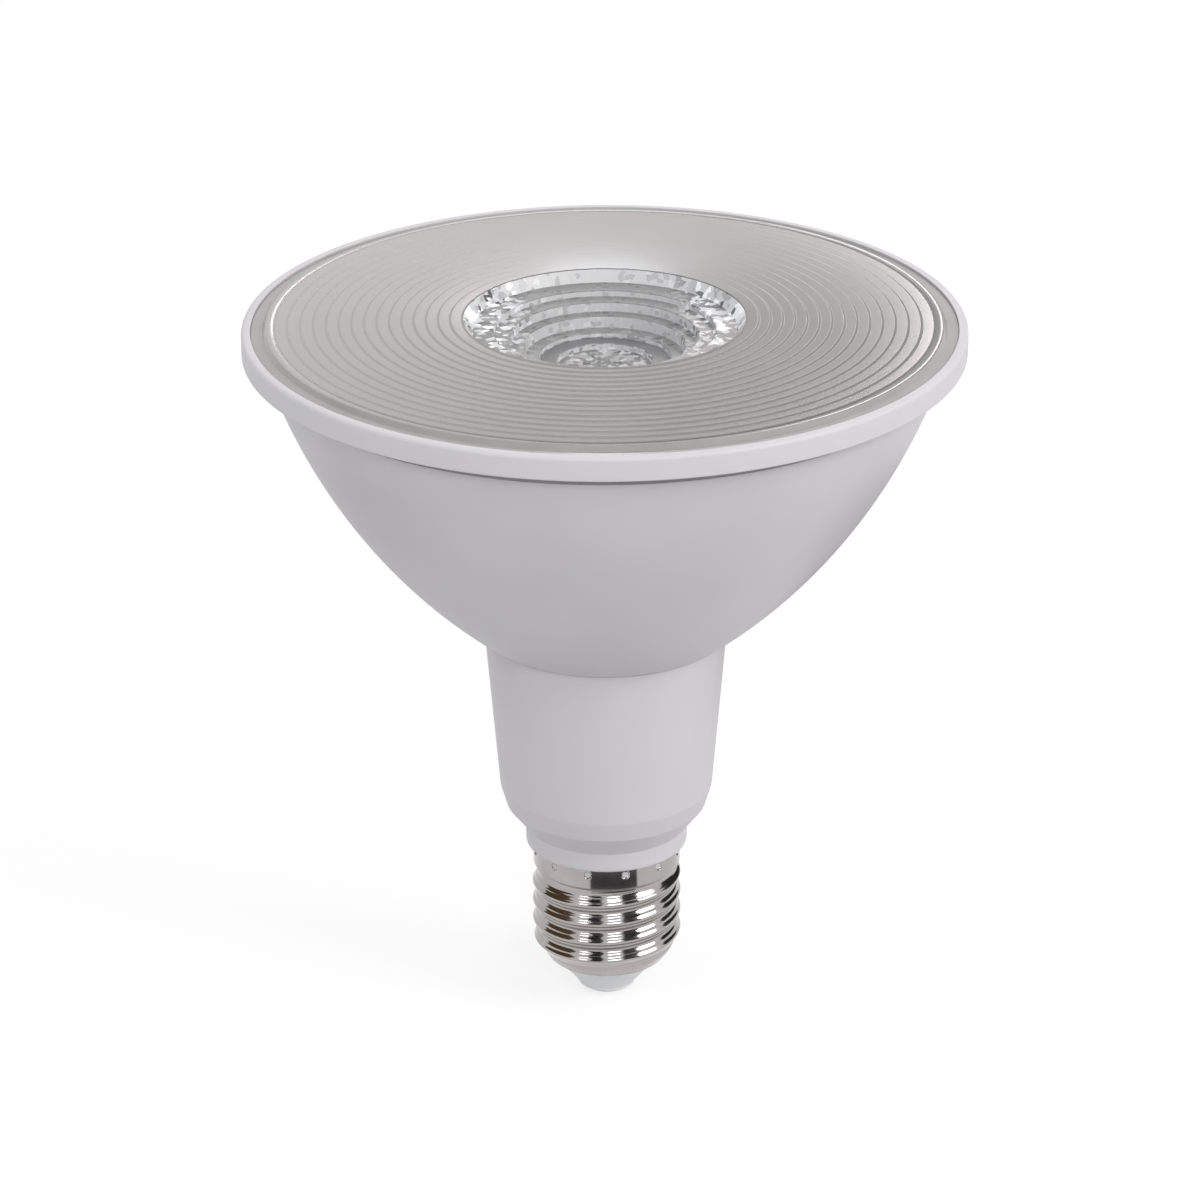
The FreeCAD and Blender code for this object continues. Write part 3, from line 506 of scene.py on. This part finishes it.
# Finishes by slot: name, colour, roughness and what else differs
plain_finishes = {
    "gasket": ("silicone_seal", (0.62, 0.62, 0.62), 0.6, {}),
    "cast_aluminium": ("cast_aluminium", (0.62, 0.63, 0.64), 0.42, {"Metallic": 1.0}),
    "thermal_pad": ("thermal_silicone", (0.28, 0.32, 0.38), 0.7, {}),
    "white_board": ("white_solder_mask", (0.72, 0.72, 0.70), 0.4, {}),
    "ceramic": ("glazed_ceramic", (0.68, 0.66, 0.6), 0.25, {}),
    "phosphor": ("phosphor_silicone", (0.8, 0.58, 0.1), 0.45, {"Subsurface_Weight": 0.2}),
    "screw_steel": ("zinc_plate", (0.6, 0.61, 0.63), 0.3, {"Metallic": 1.0}),
    "black_moulding": ("black_epoxy", (0.025, 0.025, 0.027), 0.5, {}),
    "capacitor_sleeve": ("shrink_sleeve", (0.02, 0.03, 0.07), 0.22, {"Coat_Weight": 0.4}),
    "film_case": ("film_case", (0.42, 0.13, 0.05), 0.4, {}),
    "ferrite": ("sintered_ferrite", (0.05, 0.05, 0.055), 0.55, {}),
    "winding_tape": ("polyester_tape", (0.72, 0.55, 0.08), 0.2, {"Coat_Weight": 0.6}),
    "blue_coating": ("epoxy_dip", (0.03, 0.1, 0.3), 0.3, {}),
    "resistor_body": ("flameproof_lacquer", (0.25, 0.36, 0.28), 0.5, {}),
    "red_wire": ("red_insulation", (0.45, 0.02, 0.015), 0.4, {}),
    "black_wire": ("black_insulation", (0.015, 0.015, 0.016), 0.4, {}),
    "white_wire": ("white_insulation", (0.68, 0.68, 0.66), 0.4, {}),
    "contact": ("nickel_contact", (0.62, 0.6, 0.57), 0.25, {"Metallic": 1.0}),
}
finishes = {
    slot: plain_finish(name, colour, roughness, **values)
    for slot, (name, colour, roughness, values) in plain_finishes.items()
}
finishes["white_housing"] = white
finishes["lens"] = acrylics["face"]
finishes["nickel_shell"] = nickel
finishes["insulator"] = insulator_material()
finishes["green_board"] = board_material()
finishes["enamelled_copper"] = wound_material()

for subpart in frame["record"]["subparts"]:
    add_material(frame["nodes"][subpart["node"]], finishes[subpart["material_slot"]])


# Front lens: ribs of the face, from the inside out. A rib's form is its height over its width
rib_first_radius = 24.1
rib_pitch = 2.0
rib_pitch_growth = 0.014
rib_depth = 0.19
rib_form = ((0.0, 0.0), (0.05, 0.04), (0.8, 0.97), (0.84, 1.0), (0.9, 0.78), (0.96, 0.22))

# Front lens: the fall of the face, its edge and the plain margin
face_radius = 56.9
face_drop = 0.6
face_drop_power = 1.5
edge_width = 0.6
margin_height = lens_face - 1.4
margin_drop = 0.05
edge_gap = 0.05

# Front lens: radius and depth of each step of the recess, from the outside in
recess_steps = ((23.8, 2.2), (18.8, 3.3), (15.9, 5.0), (13.7, 7.1), (11.2, 7.9), (8.1, 9.0))
recess_mouth_draft = 0.6
recess_draft = 0.12
recess_chamfer = 0.14
# The step whose floor takes painted shade
painted_shade_step = 4

# Front lens: small round lenses on the floor of the recess
pebble_radius = 4.6
pebble_rings = 36
pebble_pitch = 0.85
pebble_depth = 0.16
pebble_fade = 0.4

# Front lens: facets on the walls of the recess
lens_segments = 384
facet_count = 96
facet_slope = 0.1
facet_shift = 0.05
facet_seed = 11
riser_bands = 3
# Facets near the mouth of the recess that carry a painted glint
painted_glint_facets = (1, 2, 3, 44, 45, 46)

# Front lens: the collimator's flank and the cavity in its foot, as radii and heights
flank_start = 25.4
flank_middle = (20.1, 114.8)
flank_foot = 12.0
cavity_form = ((8.6, 0.0), (7.8, 5.4), (4.0, 6.5), (0.0, 6.9))


def recess_profile():
    """The steps of the recess, from the inside out, with the index of the step of each point."""
    points = []
    for i, (radius, depth) in enumerate(recess_steps):
        above = recess_steps[i - 1][1] if i else 0.0
        foot = radius - (recess_draft if i else recess_mouth_draft) * (depth - above)
        points.append((radius + recess_chamfer, lens_face - above, i))
        for k in range(riser_bands + 1):
            share = k / riser_bands
            drop = above + recess_chamfer + (depth - above - 2 * recess_chamfer) * share
            points.append((radius + (foot - radius) * share, lens_face - drop, i))
        points.append((foot - recess_chamfer, lens_face - depth, i))
    return points[::-1]


def face_height(radius):
    """The face falls a little from the recess out to its edge."""
    share = (radius - rib_first_radius) / (face_radius - rib_first_radius)
    return lens_face - face_drop * share**face_drop_power


def rib_profile():
    """The ribs, out to the last that fits on the face."""
    points = []
    valley = rib_first_radius
    pitch = rib_pitch
    while valley + pitch < face_radius:
        for share, rise in rib_form:
            radius = valley + pitch * share
            points.append((radius, face_height(radius) - rib_depth * (1 - rise)))
        valley += pitch
        pitch += rib_pitch_growth
    points.append((valley, face_height(valley) - rib_depth / 2))
    return points


def lens_profile():
    """The lens's section, from the middle of the recess over the face and back under the collimator."""
    floor_height = lens_face - recess_steps[-1][1]
    disc = [(pebble_radius * k / pebble_rings, floor_height) for k in range(pebble_rings + 1)]
    recess = [point[:2] for point in recess_profile()]
    ribs = rib_profile()
    skirt_radius = lens_radius - lens_skirt_width
    underside = lens_face - lens_thickness
    rim = lip_bore - edge_gap
    edge = rounded([
        ribs[-1],
        (face_radius, face_height(face_radius), 0.2),
        (face_radius + edge_width, margin_height, 0.25),
        (rim, margin_height - margin_drop, 0.04),
        (rim, lip_underside),
        (flange_radius, lip_underside),
        (flange_radius, seat_height),
        (skirt_radius, seat_height),
        (skirt_radius, underside),
    ], 3)[1:]
    flank = arc((flank_start, underside), flank_middle, (flank_foot, optic_foot), 14)
    cavity = [(r, optic_foot + rise) for r, rise in cavity_form]
    return disc + recess + ribs + edge + flank + cavity


def facet_offsets():
    """For each step of the recess, how far its small flat facets stand in, all round."""
    random = np.random.default_rng(facet_seed)
    across = np.arange(lens_segments) * facet_count / lens_segments
    facet = across.astype(int)
    from_middle = across - facet - (1 - facet_count / lens_segments) / 2
    made = []
    for _ in recess_steps:
        slope = random.uniform(-facet_slope, facet_slope, facet_count)
        shift = random.uniform(0, facet_shift, facet_count)
        made.append(shift[facet] + facet_slope / 2 + slope[facet] * from_middle)
    return made


steps_at = {pebble_rings + 1 + k: point[2] for k, point in enumerate(recess_profile())}
offsets = facet_offsets()


def lens_shape(radii, heights, turn, index):
    """Facets on the walls of the recess and small round lenses on its floor."""
    if 0 < index <= pebble_rings:
        r = radii[0]
        x, y = r * np.cos(turn), r * np.sin(turn)
        a = 2 * math.pi / pebble_pitch
        ways = [k * math.pi / 3 for k in range(3)]
        waves = sum(np.cos(a * (x * math.cos(t) + y * math.sin(t))) for t in ways)
        fade = min(1.0, (pebble_radius - r) / pebble_fade)
        heights = heights + pebble_depth * fade * (waves / len(ways))
    elif index in steps_at:
        radii = radii - offsets[steps_at[index]]
    return radii, heights


# Front lens: how level its faces are, as the upward share of the normal
floor_level = 0.75
chamfer_level = 0.6
rib_slope_level = 0.985

# Front lens: where its finishes end, in millimetres
brow_depth = 0.3
floor_spare = 0.1
recess_spare = 0.5
edge_spare = 0.02
rib_reach = 1.0


def recess_finish(centre, level):
    """The finish of a face in the recess: walls a light copy and floors a dark copy of the acrylic,
    painted light and painted shade.
    """
    below = lens_face * MM - centre.z
    # Painted shade on the floor of one deep step and on the chamfers at the brow
    if level > floor_level:
        dark = abs(below - recess_steps[painted_shade_step][1] * MM) < floor_spare * MM
        return "depth" if dark else "tread"
    if level > chamfer_level:
        return "depth" if below < brow_depth * MM else "tread"
    facet = int((math.atan2(centre.y, centre.x) / (2 * math.pi) % 1.0) * facet_count)
    bright = below < recess_steps[0][1] * MM and facet in painted_glint_facets
    return "glint" if bright else "riser"


def lens_finish(centre, level):
    """The finish of a face of the lens, by its centre and how level it is."""
    radius = math.hypot(centre.x, centre.y)
    mouth = (recess_steps[0][0] + recess_chamfer) * MM
    below = lens_face * MM - centre.z
    if radius > (face_radius + edge_spare) * MM and centre.z > lip_underside * MM:
        return "margin"
    if radius < mouth and below < (recess_steps[-1][1] + recess_spare) * MM:
        return recess_finish(centre, level)
    if radius > mouth and below < rib_reach * MM and level < rib_slope_level:
        return "fall"
    return "face"


def make_lens():
    lens = lathe("front_lens_moulding", lens_profile(), lens_shape, lens_segments)
    add_material(lens, *acrylics.values())
    places = {finish: index for index, finish in enumerate(acrylics)}
    for polygon in lens.data.polygons:
        finish = lens_finish(polygon.center, abs(polygon.normal.z))
        polygon.material_index = places[finish]
        if finish in ("riser", "glint"):
            polygon.use_smooth = False
    return dress(lens, "lens", "front_lens")


# Ring: its lip stands over the lens's margin
ring_top = lens_face - 1.1


def make_ring():
    bore = rim_radius - ring_wall
    profile = rounded([
        (lip_bore, lip_underside),
        (lip_bore, ring_top, 0.12),
        (rim_radius, ring_top, 0.85),
        (rim_radius, ring_bottom, 0.35),
        (bore, ring_bottom, 0.15),
        (bore, lip_underside),
    ], 8)
    return dress(add_material(lathe("rim_ring_moulding", profile), white), "white_housing", "front_ring")


# Bowl: its curve stands out from its chord by the bulge
bowl_foot_radius = neck_radius + 0.65
bowl_top_radius = rim_radius - 3.4
bowl_hole_radius = neck_radius - 0.65
bowl_bulge = 4.9
bowl_wall_across = 1.55
bowl_wall_up = 1.0
bowl_foot_rise = 2.3
bowl_foot_edge = 0.1
bowl_seam_gap = 0.01

# Bowl: the groove under the ring
groove_bottom = ring_bottom - 2.3
groove_depth = 0.9
groove_edge = 0.1
groove_draft = 0.4
groove_rise = 0.5

# Bowl: its chord, and the middle of its curve
bowl_run = Vector((bowl_top_radius - bowl_foot_radius, ring_bottom - bowl_bottom))
bowl_middle = (
    (bowl_foot_radius + bowl_top_radius) / 2 + bowl_bulge * bowl_run.y / bowl_run.length,
    (bowl_bottom + ring_bottom) / 2 - bowl_bulge * bowl_run.x / bowl_run.length,
)


def make_bowl():
    curve = arc((bowl_foot_radius, bowl_bottom), bowl_middle, (bowl_top_radius, ring_bottom), 60)
    inside = [(r - bowl_wall_across, z + bowl_wall_up) for r, z in curve[2:-4]]
    profile = [(bowl_hole_radius, bowl_bottom + bowl_seam_gap)]
    profile += rounded([curve[0], (bowl_foot_radius - bowl_foot_edge, bowl_bottom, 0.3), curve[1]])[1:-1]
    profile += [point for point in curve[1:] if point[1] < groove_bottom]
    lip = profile[-1][0]
    groove = lip - groove_depth
    profile += [
        (lip + groove_edge, groove_bottom + groove_edge),
        (groove, groove_bottom + 2 * groove_edge),
        (groove + groove_draft, ring_bottom + groove_rise),
        (flange_radius, ring_bottom + groove_rise),
        (flange_radius, seat_height),
        (inside[-1][0], seat_height),
    ]
    profile += inside[::-1]
    profile += [(bowl_hole_radius, bowl_bottom + bowl_foot_rise)]
    return dress(add_material(lathe("bowl_moulding", profile), white), "white_housing", "bowl_housing")


# Neck: its foot and its shoulder are each a radius and a height
neck_foot = (18.5, 40.4)
shoulder = (17.45, 36.8)
shoulder_wall = 2.25
seam_gap = 0.1
collar_radius = 14.1
collar_top = 32.6
skirt_seat_radius = 12.7
skirt_seat_depth = 3.4
spigot_radius = 11.65
spigot_top_drop = 4.5
spigot_bore = 10.2


def make_neck():
    seam = bowl_bottom - seam_gap
    socket = neck_radius - wall / 2
    profile = rounded([
        (socket - wall, socket_top),
        (socket, socket_top),
        (socket, seam),
        (neck_radius, seam, 0.35),
        (*neck_foot, 2.7),
        (*shoulder, 1.2),
        (collar_radius, collar_top, 0.4),
        (collar_radius, skirt_top, 1.3),
        (skirt_seat_radius, skirt_top),
        (skirt_seat_radius, skirt_top - skirt_seat_depth),
        (spigot_radius, skirt_top - spigot_top_drop),
        (spigot_radius, spigot_bottom),
        (spigot_bore, spigot_bottom),
        (spigot_bore, collar_top),
        (shoulder[0] - shoulder_wall, shoulder[1] + wall),
        (neck_foot[0] - wall, neck_foot[1] + wall),
    ], 8)
    return dress(add_material(lathe("neck_moulding", profile), white), "white_housing", "neck_housing")


# Screw shell: the rolled thread and the punched dimples of the skirt
thread_pitch = 3.629
thread_root = 12.1
thread_front = 14.65
thread_fade = 1.8
thread_sharpness = 0.1
foot_radius = 10.6
taper_rise = 4.1
skirt_radius = 12.9
skirt_length = 3.8
shell_wall = 0.3
dimple_count = 12
dimple_radius = 0.7
dimple_drop = 1.25
dimple_depth = 0.525
dimple_band = 0.8
dimple_margin = 1.15
thread_rows = 190
inner_rows = 50
skirt_bottom = skirt_top - skirt_length
thread_top = skirt_bottom - (skirt_radius - thread_root)
dimple_height = skirt_top - dimple_drop


def eased(share):
    share = np.clip(share, 0.0, 1.0)
    return share * share * (3 - 2 * share)


def shell_radius(z, turn):
    """Outer radius of the shell at a height, for all angles round it."""
    if z >= thread_top:
        return np.full(len(turn), min(skirt_radius, thread_root + (z - thread_top)))
    share = min((z - shell_foot) / taper_rise, 1.0)
    base = foot_radius + (thread_root - foot_radius) * math.sin(math.pi / 2 * share)
    phase = 2 * math.pi * (z - thread_front) / thread_pitch - (turn + math.pi / 2)
    wave = (1 + np.cos(phase)) / 2
    wave = wave + thread_sharpness * np.sin(2 * math.pi * wave)
    fade = eased((z - shell_foot) / taper_rise) * eased((thread_top - z) / thread_fade)
    return base + (thread_crest - thread_root) * fade * wave


def dimpled(radii, z, turn):
    """Round pits pressed into the skirt."""
    rise = z - dimple_height
    step = 2 * math.pi / dimple_count
    off = (turn / step) % 1.0 - 0.5
    across = off * step * skirt_radius
    reach = (across**2 + rise**2) / dimple_radius**2
    return radii - dimple_depth * np.clip(1 - reach, 0, 1)


def shell_turns():
    """Angles round the shell, closer together at the dimples."""
    fine, coarse = 16, 10
    step = 2 * math.pi / dimple_count
    half = dimple_margin * dimple_radius / skirt_radius
    turns = []
    for i in range(dimple_count):
        middle = (i + 0.5) * step
        turns += list(np.linspace(middle - half, middle + half, fine, endpoint=False))
        turns += list(np.linspace(middle + half, middle + step - half, coarse, endpoint=False))
    return np.array(turns)


def shell_heights():
    """Heights of the outer rows, closer together at the dimples."""
    heights = list(np.linspace(shell_foot, thread_top, thread_rows, endpoint=False))
    heights += list(np.linspace(thread_top, skirt_bottom, 8, endpoint=False))
    heights += list(np.linspace(skirt_bottom, dimple_height - dimple_band, 3, endpoint=False))
    heights += list(np.linspace(dimple_height - dimple_band, dimple_height + dimple_band, 16))
    return heights + [skirt_top - 0.1, skirt_top]


def make_shell():
    turn = shell_turns()
    count = len(turn)
    rows = []
    for z in shell_heights():
        rows.append((dimpled(shell_radius(z, turn), z, turn), z))
    for z in np.linspace(skirt_top, shell_foot, inner_rows):
        rows.append((dimpled(shell_radius(z, turn), z, turn) - shell_wall, z))
    verts = []
    for radii, z in rows:
        verts.extend(zip(radii * np.cos(turn), radii * np.sin(turn), np.full(count, z)))
    faces = []
    for i in range(len(rows)):
        n = (i + 1) % len(rows)
        for k in range(count):
            m = (k + 1) % count
            faces.append([i * count + k, i * count + m, n * count + m, n * count + k])
    shell = solid("screw_shell_plated", verts, faces)
    return dress(add_material(shell, nickel), "nickel_shell", "screw_shell")


make_lens()
make_ring()
make_bowl()
make_neck()
make_shell()


# Camera: where the photograph was taken from, in metres and in the photograph's pixels
camera_distance = 0.820
camera_elevation = math.radians(20.4)
focal_length_px = 4873.0
frame_width_px = 1200.0
rim_row_px = 324.7
axis_column_px = 605.6
camera_roll = math.radians(-0.2)
aim_height = 0.125
sensor_width = 36.0


def make_camera():
    data = bpy.data.cameras.new("camera")
    camera = bpy.data.objects.new("camera", data)
    bpy.context.scene.collection.objects.link(camera)
    bpy.context.scene.camera = camera
    camera.location = (
        0.0,
        -camera_distance * math.cos(camera_elevation),
        aim_height + camera_distance * math.sin(camera_elevation),
    )
    middle = frame_width_px / 2
    dip = camera_elevation + math.atan((middle - rim_row_px) / focal_length_px)
    camera.rotation_mode = "ZYX"
    camera.rotation_euler = (math.pi / 2 - dip, 0.0, camera_roll)
    data.sensor_width = sensor_width
    data.lens = sensor_width * focal_length_px / frame_width_px
    data.shift_x = (middle - axis_column_px) / frame_width_px
    data.clip_start = 0.01
    data.clip_end = 20.0


def seen_directly(tree):
    """1 for what the camera sees itself, in a mirror or through glass."""
    path = tree.nodes.new("ShaderNodeLightPath")
    total = path.outputs["Is Camera Ray"]
    for name in ("Is Glossy Ray", "Is Transmission Ray"):
        either = tree.nodes.new("ShaderNodeMath")
        either.operation = "MAXIMUM"
        tree.links.new(total, either.inputs[0])
        tree.links.new(path.outputs[name], either.inputs[1])
        total = either.outputs[0]
    return total


# Studio: its sizes are in metres, and a strength of 1 is white
floor_size = 6.0
floor_albedo = 0.54
floor_spread = 0.01
floor_shade = 0.3
backdrop_strength = 1.0
ambient_strength = 0.875
full_white = (1.0, 1.0, 1.0, 1.0)


def flat(width, height):
    """Corners of an upright field about the origin, left to right and then up."""
    x, y = width / 2, height / 2
    return [(-x, -y, 0), (x, -y, 0), (-x, y, 0), (x, y, 0)]


def staged(name, corners):
    """An object of the studio: a run of four-sided fields between pairs of corners."""
    mesh = bpy.data.meshes.new(name)
    fields = [(k, k + 1, k + 3, k + 2) for k in range(0, len(corners) - 2, 2)]
    mesh.from_pydata(corners, [], fields)
    piece = bpy.data.objects.new(name, mesh)
    bpy.context.scene.collection.objects.link(piece)
    return piece


def make_floor():
    """A pale floor that looks white where it is fully lit, and keeps the lamp's shadow."""
    floor = staged("floor", flat(floor_size, floor_size))
    shader = Shader("floor_paper")
    tree = shader.tree
    grain = shader.noise(3.0, 2.0)
    dark, light = grey(floor_albedo * (1 - floor_spread)), grey(floor_albedo * (1 + floor_spread))
    shader.set(
        Base_Color=shader.ramp(grain, (0.3, dark), (0.7, light)),
        Roughness=0.9,
        Specular_IOR_Level=0.0,
    )
    paper = shader.node("ShaderNodeBsdfDiffuse", {"Color": full_white})
    glow = shader.node("ShaderNodeEmission", {"Color": full_white, "Strength": backdrop_strength})
    seen = shader.node(
        "ShaderNodeMixShader",
        {0: floor_shade, 1: glow.outputs[0], 2: paper.outputs[0]},
    )
    mix = shader.node(
        "ShaderNodeMixShader",
        {0: seen_directly(tree), 1: shader.surface.outputs[0], 2: seen.outputs[0]},
    )
    output = next(node for node in tree.nodes if node.type == "OUTPUT_MATERIAL")
    tree.links.new(mix.outputs[0], output.inputs["Surface"])
    add_material(floor, shader.material)


def make_world():
    world = bpy.data.worlds.new("studio")
    bpy.context.scene.world = world
    world.use_nodes = True
    tree = world.node_tree
    light = tree.nodes["Background"]
    light.inputs["Color"].default_value = full_white
    light.inputs["Strength"].default_value = ambient_strength
    seen = tree.nodes.new("ShaderNodeBackground")
    seen.inputs["Color"].default_value = full_white
    seen.inputs["Strength"].default_value = backdrop_strength
    mix = tree.nodes.new("ShaderNodeMixShader")
    tree.links.new(seen_directly(tree), mix.inputs[0])
    tree.links.new(light.outputs[0], mix.inputs[1])
    tree.links.new(seen.outputs[0], mix.inputs[2])
    tree.links.new(mix.outputs[0], tree.nodes["World Output"].inputs["Surface"])


def around(azimuth, elevation, distance, height):
    """A place seen from the axis at a height. The azimuth is in degrees from the front, to the right."""
    a, e = math.radians(azimuth), math.radians(elevation)
    return (
        distance * math.cos(e) * math.sin(a),
        -distance * math.cos(e) * math.cos(a),
        height + distance * math.sin(e),
    )


def aimed(obj, target):
    direction = Vector(target) - obj.location
    obj.rotation_euler = direction.to_track_quat("-Z", "Y").to_euler()


# Lamps: direction from the front to the right and up, distance, size, power and colour
cap_middle = 0.02
light_target_height = 0.08
lamps = (
    ("key", 66, 34, 1.5, (0.7, 0.45), 7.5, (1.0, 0.965, 0.95)),
    ("front", 9, 34, 1.6, (0.42, 0.22), 4.0, (0.95, 0.98, 1.0)),
    ("left", -42, 34, 1.6, (0.32, 0.2), 1.5, (1.0, 1.0, 1.0)),
)

# Dark screens round the lamp below its lens, seen in the plated shell
screen_distance = 0.08
screen_low = 0.022
screen_fields = 9
screens = (
    ("card_far_left", -80, 24, 0.074, (0.13, 0.085, 0.045)),
    ("card_left", -19, 9.5, 0.096, (0.03, 0.028, 0.03)),
    ("card_right", 35, 12.5, 0.096, (0.045, 0.05, 0.045)),
    ("card_far_right", 118, 28, 0.074, (0.045, 0.04, 0.04)),
)

# A dark band on the floor in front, seen in the shell's skirt
band_turns = (-23, 44)
band_reaches = (0.058, 0.073)
band_fields = 12
band_height = 0.0005

# Bright strips far behind the lamp, seen in its lens: direction, distance, size, colour and strength
lens_middle = lens_face * MM
strips = (
    ("strip_back", 180, 34.5, 3.0, (0.11, 0.6), (0.93, 0.97, 1.0), 7.5),
    ("strip_pink", 176.15, 24, 3.0, (0.115, 0.7), (1.0, 0.93, 0.92), 9.5),
    ("strip_small", 183.4, 27, 3.0, (0.12, 0.14), (1.0, 0.98, 0.95), 5.5),
    ("strip_wide", 180, 36, 3.1, (2.4, 0.8), (1.0, 1.0, 1.0), 1.12),
)


def make_light(name, place, size, power, colour):
    data = bpy.data.lights.new(name, "AREA")
    data.shape = "RECTANGLE"
    data.size, data.size_y = size
    data.energy = power
    data.color = colour
    light = bpy.data.objects.new(name, data)
    bpy.context.scene.collection.objects.link(light)
    light.location = place
    aimed(light, (0, 0, light_target_height))


def make_card(name, corners, colour, strength=1.0):
    """A card that is seen only in gloss: a dark one, or a bright strip."""
    card = staged(name, corners)
    card.visible_camera = False
    card.visible_diffuse = False
    card.visible_shadow = False
    card.visible_transmission = False
    shader = Shader(name + "_cloth")
    weave = shader.noise(20.0)
    shader.set(
        Base_Color=(*grey(0.0), 1.0),
        Roughness=1.0,
        Specular_IOR_Level=0.0,
        Emission_Color=shader.ramp(weave, (0.3, tinted(colour, 0.9)), (0.7, colour)),
        Emission_Strength=strength,
    )
    return add_material(card, shader.material)


def make_screen(name, azimuth, half_angle, top, colour):
    """A bent upright screen about the axis."""
    turns = np.linspace(azimuth - half_angle, azimuth + half_angle, screen_fields)
    corners = [around(turn, 0, screen_distance, z) for turn in turns for z in (screen_low, top)]
    return make_card(name, corners, colour)


def make_band():
    turns = np.linspace(*band_turns, band_fields)
    corners = [around(turn, 0, reach, band_height) for turn in turns for reach in band_reaches]
    return make_card("card_floor", corners, (0.02, 0.02, 0.025))


def make_strip(name, azimuth, elevation, distance, size, colour, strength):
    """A flat strip that faces the middle of the lens."""
    strip = make_card(name, flat(*size), colour, strength)
    strip.location = around(azimuth, elevation, distance, lens_middle)
    aimed(strip, (0, 0, lens_middle))


make_camera()
make_floor()
make_world()
for name, azimuth, elevation, distance, size, power, colour in lamps:
    make_light(name, around(azimuth, elevation, distance, cap_middle), size, power, colour)
for screen in screens:
    make_screen(*screen)
make_band()
for strip in strips:
    make_strip(*strip)

scene = bpy.context.scene
scene.view_settings.view_transform = "Standard"
